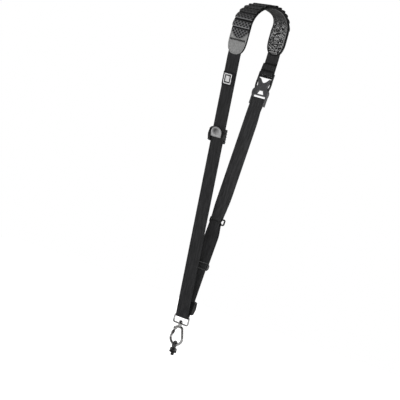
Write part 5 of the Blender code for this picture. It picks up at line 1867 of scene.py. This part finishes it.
        # Painted shade in the scoop: darker with depth and towards one side, standing in for its dark reflections; lit
        # grows towards the darker side.
        back = seat.inverted()
        for vert in stock.bm.verts:
            spot = back @ vert.co
            deep = (self.cam - spot.z) / self.scoop_depth if spot.z > self.cam - self.scoop_depth - 0.1 * MM else 0.0
            inside = math.hypot(spot.x + self.scoop_shift, (spot.y - centre[1]) / 0.92) < self.scoop * 0.97
            lit = 0.6 + (spot.x * self.side.value * 1.4 + spot.y - centre[1]) / (1.6 * self.scoop)
            vert[stock.painted_shade] = min(1.0, max(0.0, deep * 1.2)) * min(1.0, max(0.0, lit)) if inside else 0.0
        stock.publish(
            f"stop_lever_{self.end}", SILVER, f"{self.end}_lever",
            nodes=[f"bumper_lever_{self.end}"], sharp=32, hard=True,
        )

    def build(self) -> None:
        """Make the body and its lever."""
        self.make_body()
        self.make_lever()


@dataclass
class Buckle:
    """The side-release buckle, closed: a socket on the middle strap and a plug on the top one."""

    height: float = -119.8 * MM
    thick: float = 7.4 * MM
    half: float = 16 * MM
    prong_thick: float = 4 * MM
    bar: float = 1.7 * MM
    rail: float = 2.2 * MM
    rail_thick: float = 5 * MM
    cross_top: float = 8.6 * MM
    cross_low: float = 4.8 * MM
    plug_bar: float = 12.4 * MM
    socket_end: float = -28.2 * MM
    socket_bar: float = -35.2 * MM
    rail_end: float = -45.6 * MM
    keeper: float = -43.6 * MM
    keeper_out: float = 4.9 * MM
    keeper_bar: float = 1.1 * MM

    def make_socket(self) -> None:
        """The socket: a waisted shell with a window, two rails, a bar and a keeper."""
        arm, edge = EDGE_IN - GAP, EDGE_IN + self.rail
        half = [
            (0.0, -4.9 * MM), (2.6 * MM, -4.4 * MM), (5.6 * MM, -2.2 * MM), (9.8 * MM, 3.0 * MM),
            (arm, 3.6 * MM), (arm, -1.0 * MM), (10.0 * MM, -5.4 * MM), (9.0 * MM, -10.0 * MM),
            (10.4 * MM, -14.6 * MM), (14.6 * MM, -17.6 * MM), (self.half, -21.0 * MM),
            (self.half, -26.0 * MM), (edge, self.socket_end - 1 * MM),
            (EDGE_IN, self.socket_end - 1 * MM), (EDGE_IN - 0.6 * MM, self.socket_end),
            (0.0, self.socket_end),
        ]
        outline = softened(mirrored(half), 1.1 * MM)
        window = [(4.4, -18.8), (7.7, -25.7), (-7.7, -25.7), (-4.4, -18.8)]
        opening = softened([(x * MM, y * MM) for x, y in window], 0.35 * MM)
        shell = plate([outline, opening], self.thick, 0.9 * MM, 3)
        joins, cuts = [], []
        rail_top = self.socket_end + 2 * MM
        length = rail_top - self.rail_end
        for hand in (-1, 1):
            x = hand * (EDGE_IN + self.rail / 2)
            size = (self.rail, length, self.rail_thick + 2 * MM)
            joins.append(block(size, (x, rail_top - length / 2, 0.8 * MM), 0.5 * MM))
            top, low = -13 * MM, -24.4 * MM
            pocket = (3.4 * MM, top - low, self.prong_thick + 2 * GAP)
            cuts.append(block(pocket, (hand * 12.9 * MM, (top + low) / 2, 0)))
        span = 2 * (EDGE_IN + self.rail / 2)
        flat = Matrix.Rotation(math.pi / 2, 4, "Y")
        joins.append(rod(self.bar, span, Matrix.Translation((0, self.socket_bar, 0)) @ flat))
        joins.append(rod(self.keeper_bar, span, Matrix.Translation((0, self.keeper, self.keeper_out)) @ flat))
        shell = carve(carve(shell, joins, "UNION"), cuts)
        stock = Stock()
        stock.add_mesh(shell, strap_frame(Side.BACK, self.height))
        stock.publish("clip_socket", SMOKE, nodes=["buckle_socket"], sharp=32, hard=True)

    def make_plug(self) -> None:
        """The plug: a bar for the webbing, a cross bar and two sprung prongs."""
        top, edge = self.plug_bar + self.bar + 0.6 * MM, EDGE_IN + self.rail
        side = [
            (0.0, self.cross_top), (EDGE_IN, self.cross_top), (EDGE_IN, top), (edge - 0.6 * MM, top),
            (edge, top - 1 * MM), (edge, self.cross_low - 1 * MM), (edge + 0.4 * MM, -4.5 * MM),
            (edge + 0.4 * MM, -8.5 * MM), (15.0 * MM, -12.0 * MM), (14.2 * MM, -15.5 * MM),
            (13.9 * MM, -23.2 * MM), (12.1 * MM, -23.9 * MM), (11.7 * MM, -14.5 * MM),
            (13.2 * MM, -9.0 * MM), (EDGE_IN + GAP / 2, -3.5 * MM), (EDGE_IN, self.cross_low),
            (0.0, self.cross_low),
        ]
        fork = plate([softened(mirrored(side), 0.7 * MM)], self.prong_thick, 0.45 * MM, 3)
        span = 2 * (EDGE_IN + self.rail / 2)
        bar = rod(self.bar, span, Matrix.Translation((0, self.plug_bar, 0)) @ Matrix.Rotation(math.pi / 2, 4, "Y"))
        stock = Stock()
        stock.add_mesh(carve(fork, [bar], "UNION"), strap_frame(Side.BACK, self.height))
        stock.publish("clip_plug", BLACK, nodes=["buckle_plug"], sharp=32, hard=True)

    def build(self) -> None:
        """Make the socket and the plug."""
        self.make_socket()
        self.make_plug()


@dataclass
class Adjuster:
    """The slider with three bars, and the wire loop that joins the two back straps."""

    webbing: Webbing
    rail: float = 2.9 * MM
    loop_half_width: float = 14.4 * MM
    loop_corner: float = 2 * MM
    loop_shift: float = 0.8 * MM

    def make_slider(self) -> None:
        """Two rails and three round bars, the middle one set back."""
        web = self.webbing
        low = -web.slider_wrap - web.slider_bar - 0.3 * MM
        high = web.slider_middle_out + web.slider_bar
        half = web.slider_spread + web.slider_bar
        middle = EDGE_IN + self.rail / 2
        outline = [
            (low, -half + 1 * MM), (low + 1 * MM, -half), (low + 2.4 * MM, -half), (high, -2.6 * MM),
            (high, 2.6 * MM), (low + 2.4 * MM, half), (low + 1 * MM, half), (low, half - 1 * MM),
        ]
        rails = []
        for across in (-middle, middle):
            rail = plate([softened(outline, 0.8 * MM)], self.rail, 0.4 * MM, 3)
            rail.transform(sideways(across))
            rail.flip_normals()
            rails.append(rail)
        flat = Matrix.Rotation(math.pi / 2, 4, "Y")
        spots = [
            (-web.slider_spread, -web.slider_wrap), (0, web.slider_middle_out),
            (web.slider_spread, -web.slider_wrap),
        ]
        bars = [
            rod(web.slider_bar, 2 * middle, Matrix.Translation((0, along, out)) @ flat)
            for along, out in spots
        ]
        stock = Stock()
        slider = carve(rails[0], [rails[1], *bars], "UNION")
        stock.add_mesh(slider, strap_frame(Side.BACK, web.slider_height))
        stock.publish("slider_frame", GLOSS, nodes=["strap_slider"], sharp=32, hard=True)

    def make_loop(self) -> None:
        """The wire loop with round corners."""
        web = self.webbing
        seat = strap_frame(Side.BACK, web.loop_height)
        seat = seat @ Matrix.Translation((-self.loop_shift, 0, web.loop_out))
        outline = rounded_box(self.loop_half_width, -web.loop_half, web.loop_half, self.loop_corner)
        across = (seat.to_3x3() @ Vector((0, 0, 1))).normalized()
        stock = Stock()
        stock.tube([seat @ Vector((x, y, 0)) for x, y in outline], web.loop_wire, across, closed=True)
        stock.publish("wire_loop", LOOP_STEEL, nodes=["strap_loop"], sharp=60, hard=True)

    def build(self) -> None:
        """Make the slider and the loop."""
        self.make_slider()
        self.make_loop()


@dataclass
class SwivelHook:
    """The swivel ring, the hook that turns in its boss, the gate and the screw-in eye."""

    ring_drop: float = 14 * MM
    ring_corner: float = 3 * MM
    boss: float = 4 * MM
    boss_length: float = 4.8 * MM
    shank: float = 2 * MM
    head: float = 3.4 * MM
    head_length: float = 3.4 * MM
    collar: float = 3.2 * MM
    collar_length: float = 2 * MM
    wire: float = 2.4 * MM
    top_half: float = 2.9 * MM
    top_corner: float = 4.5 * MM
    bow: float = 11.6 * MM
    bow_drop: float = 19.8 * MM
    gate_wire: float = 2.1 * MM
    sleeve: float = 2.9 * MM
    knuckle: float = 3 * MM
    tongue: float = 1.8 * MM
    pin: float = 0.84 * MM
    eye: float = 5.1 * MM
    eye_wire: float = 2.1 * MM
    base: float = 6.2 * MM
    base_length: float = 5.6 * MM
    base_sink: float = 1.6 * MM
    washer: float = 6.5 * MM
    washer_thick: float = 2.3 * MM
    stud: float = 3.175 * MM
    neck: float = 2.8 * MM
    stud_length: float = 5.2 * MM

    @property
    def boss_top(self) -> float:
        """The top of the ring's boss."""
        return RING_BAR - self.ring_drop + self.boss_length / 2

    @property
    def boss_low(self) -> float:
        """The bottom of the ring's boss."""
        return self.boss_top - self.boss_length

    @property
    def hook_top(self) -> float:
        """The middle line of the hook's top."""
        return self.boss_low - GAP - self.collar_length - 0.6 * self.wire

    def wraps(self) -> list[Wrap]:
        """The hook's outline as wraps: its two upper corners and its round bow."""
        corner = self.hook_top - self.top_corner
        return [
            (-self.top_half, corner, self.top_corner, -1),
            (self.top_half, corner, self.top_corner, -1),
            (0.0, self.hook_top - self.bow_drop, self.bow, -1),
        ]

    def make_ring(self) -> None:
        """The ring in the webbing's fold, with a bored boss in its lower bar."""
        half = WEB_WIDTH / 2 + 2 * GAP + RING_WIRE
        low = RING_BAR - self.ring_drop
        outline = rounded_box(half, low, RING_BAR, self.ring_corner, 10)
        wire = Stock()
        wire.tube([Vector((x, 0, z)) for x, z in outline], RING_WIRE, Vector((0, 1, 0)), 20, closed=True)
        boss = Stock()
        soft, top = 0.5 * MM, self.boss_length / 2
        profile = [(0.0, top), (self.boss - soft, top)]
        profile += [(self.boss - soft + soft * math.sin(a), top - soft + soft * math.cos(a)) for a in (0.5, 1.05, 1.57)]
        profile += [(r, -z) for r, z in reversed(profile)]
        boss.turned(profile, Matrix.Translation((0, 0, low)), 40)
        bore = rod(self.shank + GAP, 2 * self.boss_length, Matrix.Translation((0, 0, low)), 32)
        ring = carve(carve(wire.as_mesh(), [boss.as_mesh()], "UNION"), [bore])
        stock = Stock()
        stock.add_mesh(ring, Matrix.Identity(4))
        stock.publish("ring_frame", CHROME, "ring", nodes=["swivel_ring"], sharp=36, hard=True)

    def make_hook(self) -> None:
        """The hook: a bent wire with a fork for its gate and a headed shank."""
        wraps = self.wraps()
        runs = [tangent(a, b) for a, b in zip(wraps[-1:] + wraps[:-1], wraps)]
        gate_low, gate_top = runs[0][1:]
        points: list[Flat] = []
        for k, wrap in enumerate(wraps):
            turn = (runs[k][0] - runs[(k + 1) % 3][0]) % TURN
            points += wrap_arc(wrap, runs[k][0], turn, math.radians(7))
        line = divided(points, 1.2 * MM)
        radii = [self.wire] * len(line)
        soft = 0.7 * MM
        tip, before = Vector(line[-1]), Vector(line[-2])
        way = (tip - before).normalized()
        line = line[:-1] + [tuple(tip - way * soft * d) for d in (1.0, 0.45, 0.12, 0.0)]
        radii = radii[:-1] + [self.wire - soft * d for d in (0.0, 0.16, 0.5, 1.0)]
        wire = Stock()
        wire.tube([Vector((x, 0, z)) for x, z in line], radii, Vector((0, 1, 0)), 28)
        low = self.boss_top + GAP
        top, collar = low + self.head_length, self.boss_low - GAP
        soft = 0.4 * MM
        shank = Stock()
        shank.turned(
            [
                (0.0, top), (self.head * 0.35, top - 0.05 * MM), (self.head * 0.62, top - 0.35 * MM),
                (self.head * 0.84, top - 0.95 * MM), (self.head * 0.96, top - 1.6 * MM),
                (self.head, top - 2.2 * MM), (self.head, low + soft), (self.head - soft, low),
                (self.shank, low), (self.shank, collar), (self.collar - soft, collar),
                (self.collar, collar - soft), (self.collar, collar - self.collar_length),
                (0.0, self.hook_top - self.wire * 0.5),
            ],
            Matrix.Identity(4), 40,
        )
        pivot = Vector((gate_top[0], 0, gate_top[1]))
        stand = Matrix.Translation(pivot) @ Matrix.Rotation(math.pi / 2, 4, "X")
        knuckle = rod(self.knuckle, 2.1 * self.wire, stand, 40)
        fork = (2.6 * self.knuckle, self.tongue + 2 * GAP, 2.2 * self.knuckle + 2 * GAP)
        hook = carve(wire.as_mesh(), [shank.as_mesh(), knuckle], "UNION")
        hook = carve(hook, [block(fork, pivot), rod(self.pin + GAP, 4 * self.wire, stand)])
        stock = Stock()
        stock.add_mesh(hook, Matrix.Identity(4))
        stock.publish("hook_wire", CHROME, "hook", nodes=["hook"], sharp=36, hard=True)
        self.make_gate(gate_top, gate_low)

    def make_gate(self, top: Flat, low: Flat) -> None:
        """The sprung gate, hinged in the fork and closing on the hook's nose.

        Args:
            top: The pivot's (x, z).
            low: The nose's (x, z).
        """
        length = math.dist(top, low)
        start, run = self.knuckle + GAP, length - 2 * GAP
        barrel = Stock()
        profile = [
            (0.0, -start), (self.gate_wire - 0.3 * MM, -start), (self.gate_wire, -start - 0.3 * MM),
            (self.gate_wire, -0.4 * length), (self.sleeve - 0.15 * MM, -0.465 * length),
            (self.sleeve, -0.49 * length),
        ]
        grooves = 6
        for k in range(grooves):
            middle = -length * (0.52 + 0.24 * (k + 0.5) / grooves)
            profile += [
                (self.sleeve, middle + 0.26 * MM), (self.sleeve - 0.18 * MM, middle),
                (self.sleeve, middle - 0.26 * MM),
            ]
        profile += [
            (self.sleeve, -0.79 * length), (self.sleeve - 0.15 * MM, -0.815 * length),
            (self.gate_wire, -0.87 * length), (self.gate_wire, -run + 0.3 * MM),
            (self.gate_wire - 0.3 * MM, -run), (0.0, -run),
        ]
        barrel.turned(profile, Matrix.Identity(4), 32)
        stand = Matrix.Rotation(math.pi / 2, 4, "X")
        tongue = rod(self.knuckle, self.tongue, stand, 40)
        stem = block((3.6 * self.gate_wire / 2, self.tongue, start + 1.5 * MM), (0, 0, -(start + 1.5 * MM) / 2))
        pin = rod(self.pin, 2.1 * self.wire, stand, 24)
        gate = carve(barrel.as_mesh(), [tongue, stem, pin], "UNION")
        swing = math.atan2(top[0] - low[0], top[1] - low[1])
        seat = Matrix.Translation((top[0], 0, top[1])) @ Matrix.Rotation(swing, 4, "Y")
        stock = Stock()
        stock.add_mesh(gate, seat)
        stock.publish("gate_sleeve", GATE_STEEL, "gate", nodes=["hook_gate"], sharp=36, hard=True)

    def make_eye(self) -> None:
        """The screw-in eye that hangs in the hook's bow, with its rubber washer."""
        eye_z = self.wraps()[2][1] - self.bow + self.wire + GAP - (self.eye - self.eye_wire)
        ring = Stock()
        points = [Vector((0, y, z)) for y, z in arc((0, eye_z), self.eye, 0, TURN, 48)[:-1]]
        ring.tube(points, self.eye_wire, Vector((1, 0, 0)), 24, closed=True)
        top = eye_z - self.eye - self.eye_wire + self.base_sink
        low = top - self.base_length
        seat = low - GAP - self.washer_thick
        tip = seat - self.stud_length
        soft = 0.4 * MM
        profile = [
            (0.0, top), (self.base * 0.55, top), (self.base * 0.72, top - 0.25 * MM),
            (self.base * 0.92, top - 1.0 * MM), (self.base, top - 1.7 * MM), (self.base, low + soft),
            (self.base - soft, low), (self.neck, low), (self.neck, seat), (self.stud - 0.3 * MM, seat),
        ]
        pitch, turns = 1.27 * MM, 3
        for k in range(turns):
            crest = seat - 0.5 * MM - pitch * k
            profile += [(self.stud, crest), (self.stud, crest - 0.25 * MM), (self.stud - 0.42 * MM, crest - 0.75 * MM)]
        profile += [(self.stud - 0.1 * MM, tip + 0.7 * MM), (self.stud - 0.6 * MM, tip), (0.0, tip)]
        base = Stock()
        base.turned(profile, Matrix.Identity(4), 48)
        eye = carve(ring.as_mesh(), [base.as_mesh()], "UNION")
        stock = Stock()
        stock.add_mesh(eye, Matrix.Identity(4))
        stock.publish("eye_screw", STEEL, "fastener", nodes=["screw_eye"], sharp=36, hard=True)
        washer = Stock()
        inner, outer, high = self.stud + GAP, self.washer, seat + self.washer_thick
        washer.turned(
            [
                (inner, seat), (inner, high), (outer - soft, high), (outer - 0.12 * MM, high - 0.12 * MM),
                (outer, high - soft), (outer, seat + soft), (outer - 0.12 * MM, seat + 0.12 * MM),
                (outer - soft, seat),
            ],
            Matrix.Identity(4), 48, ring=True,
        )
        washer.publish("seat_washer", RUBBER, "fastener", nodes=["rubber_washer"], sharp=50, hard=True)

    def build(self) -> None:
        """Make the ring, the hook, its gate and the eye."""
        self.make_ring()
        self.make_hook()
        self.make_eye()


# Studio


@dataclass
class Studio:
    """The camera at the photograph's angle, soft lights and a plain pale floor."""

    azimuth: float = math.radians(29.463)
    elevation: float = math.radians(3.596)
    roll: float = math.radians(15.325)
    distance: float = 2.6866
    target: tuple[float, float, float] = (0.0, 0.0, -0.3118)
    lens: float = 140.184
    shift: Flat = (-18.76 / 400, -16.53 / 400)
    floor: float = -0.75
    ambient: float = 0.17

    def place_camera(self) -> None:
        """Stand the camera where the photograph's was."""
        a, e, r = self.azimuth, self.elevation, self.roll
        ahead = Vector((-math.sin(a) * math.cos(e), math.cos(a) * math.cos(e), -math.sin(e)))
        right = Vector((math.cos(a), math.sin(a), 0))
        above = right.cross(ahead)
        x_axis = right * math.cos(r) + above * math.sin(r)
        y_axis = above * math.cos(r) - right * math.sin(r)
        rows = Matrix((x_axis, y_axis, -ahead)).transposed().to_4x4()
        data = bpy.data.cameras.new("camera")
        data.lens, data.sensor_width = self.lens, 36.0
        data.shift_x, data.shift_y = self.shift
        data.clip_start, data.clip_end = 0.05, 60.0
        camera = bpy.data.objects.new("camera", data)
        camera.matrix_world = Matrix.Translation(Vector(self.target) - ahead * self.distance) @ rows
        bpy.context.scene.collection.objects.link(camera)
        bpy.context.scene.camera = camera

    def light(self, name: str, spot: Sequence[float], size: Flat, power: float, glossy: bool = False) -> None:
        """Hang a soft panel light that looks at the strap.

        Args:
            name: The light's name.
            spot: Where it hangs.
            size: Its width and height.
            power: Its power in watts.
            glossy: Whether bright surfaces mirror it.
        """
        data = bpy.data.lights.new(name, "AREA")
        data.shape, data.size, data.size_y, data.energy = "RECTANGLE", *size, power
        lamp = bpy.data.objects.new(name, data)
        lamp.visible_glossy = glossy
        aim = Vector((0, 0, -0.3)) - Vector(spot)
        lamp.matrix_world = Matrix.Translation(spot) @ aim.to_track_quat("-Z", "Y").to_matrix().to_4x4()
        bpy.context.scene.collection.objects.link(lamp)

    def lay_floor(self) -> None:
        """A plain pale floor under the strap, as white as the backdrop where it is seen."""
        bm = bmesh.new()
        bmesh.ops.create_grid(bm, x_segments=1, y_segments=1, size=1.4)
        bm.transform(Matrix.Translation((0, 0, self.floor)))
        mesh = bpy.data.meshes.new("studio_floor")
        bm.to_mesh(mesh)
        bm.free()
        mat = bpy.data.materials.new("studio_paper")
        mat.use_nodes = True
        graph = Graph(mat.node_tree)
        shader = mat.node_tree.nodes["Principled BSDF"].inputs
        shader["Base Color"].default_value = (0.85, 0.85, 0.85, 1)
        shader["Roughness"].default_value = 0.9
        shader["Emission Color"].default_value = (1, 1, 1, 1)
        seen = graph.add("ShaderNodeLightPath").outputs["Is Camera Ray"]
        graph.feed(shader["Emission Strength"], seen)
        mesh.materials.append(mat)
        ground = bpy.data.objects.new("studio_floor", mesh)
        bpy.context.scene.collection.objects.link(ground)

    def light_world(self) -> None:
        """A white backdrop, in a studio that is bright before the strap and dark behind it."""
        world = bpy.data.worlds.new("studio")
        world.use_nodes = True
        bpy.context.scene.world = world
        graph = Graph(world.node_tree)
        shade = world.node_tree.nodes["Background"]
        way = graph.add("ShaderNodeTexCoord").outputs["Generated"]
        parts = graph.add("ShaderNodeSeparateXYZ", {0: way}).outputs
        sideways_part = graph.math("MULTIPLY", parts[0], math.sin(self.azimuth))
        front = graph.math("MULTIPLY_ADD", parts[1], -math.cos(self.azimuth), sideways_part)
        ramp = graph.add("ShaderNodeValToRGB", {0: graph.math("MULTIPLY_ADD", front, 0.5, 0.5)})
        stops = [(0.0, 0.3), (0.2, 0.1), (0.3, 0.8), (0.4, 1.0), (0.5, 1.0), (0.58, 0.03), (1.0, 0.015)]
        for spot, _ in stops[1:-1]:
            ramp.color_ramp.elements.new(spot)
        for stop, (spot, grey) in zip(ramp.color_ramp.elements, stops):
            stop.position, stop.color = spot, (grey, grey, grey, 1)
        path = graph.add("ShaderNodeLightPath").outputs
        room = graph.mix(path["Is Glossy Ray"], (self.ambient, self.ambient, self.ambient, 1.0), ramp.outputs[0])
        graph.feed(shade.inputs["Color"], graph.mix(path["Is Camera Ray"], room, (1.0, 1.0, 1.0, 1.0)))
        shade.inputs["Strength"].default_value = 1.0

    def build(self) -> None:
        """Set up everything but the camera."""
        bpy.context.scene.view_settings.view_transform = "Standard"
        self.lay_floor()
        self.light_world()
        self.light("key_panel", (1.0, -2.35, -0.3), (1.4, 1.6), 44)
        self.light("fill_panel", (2.4, 0.4, -0.2), (0.4, 1.8), 8, glossy=True)
        self.light("back_panel", (-0.6, 2.4, 0.9), (1.6, 1.0), 26)


def main() -> None:
    """Build the strap's pieces in order."""
    logging.basicConfig(level=logging.INFO, format="%(name)s %(message)s", stream=sys.stdout)
    studio = Studio()
    studio.place_camera()
    webbing = Webbing()
    groups = [
        ShoulderPad(PAD),
        webbing,
        Label(),
        CamBumper("front", Side.FRONT, -230.4 * MM),
        CamBumper("rear", Side.BACK, -532.8 * MM),
        Buckle(),
        Adjuster(webbing),
        SwivelHook(),
    ]
    for group in groups:
        LOG.info("building %s", type(group).__name__)
        group.build()
    studio.build()


if __name__ == "__main__":
    main()
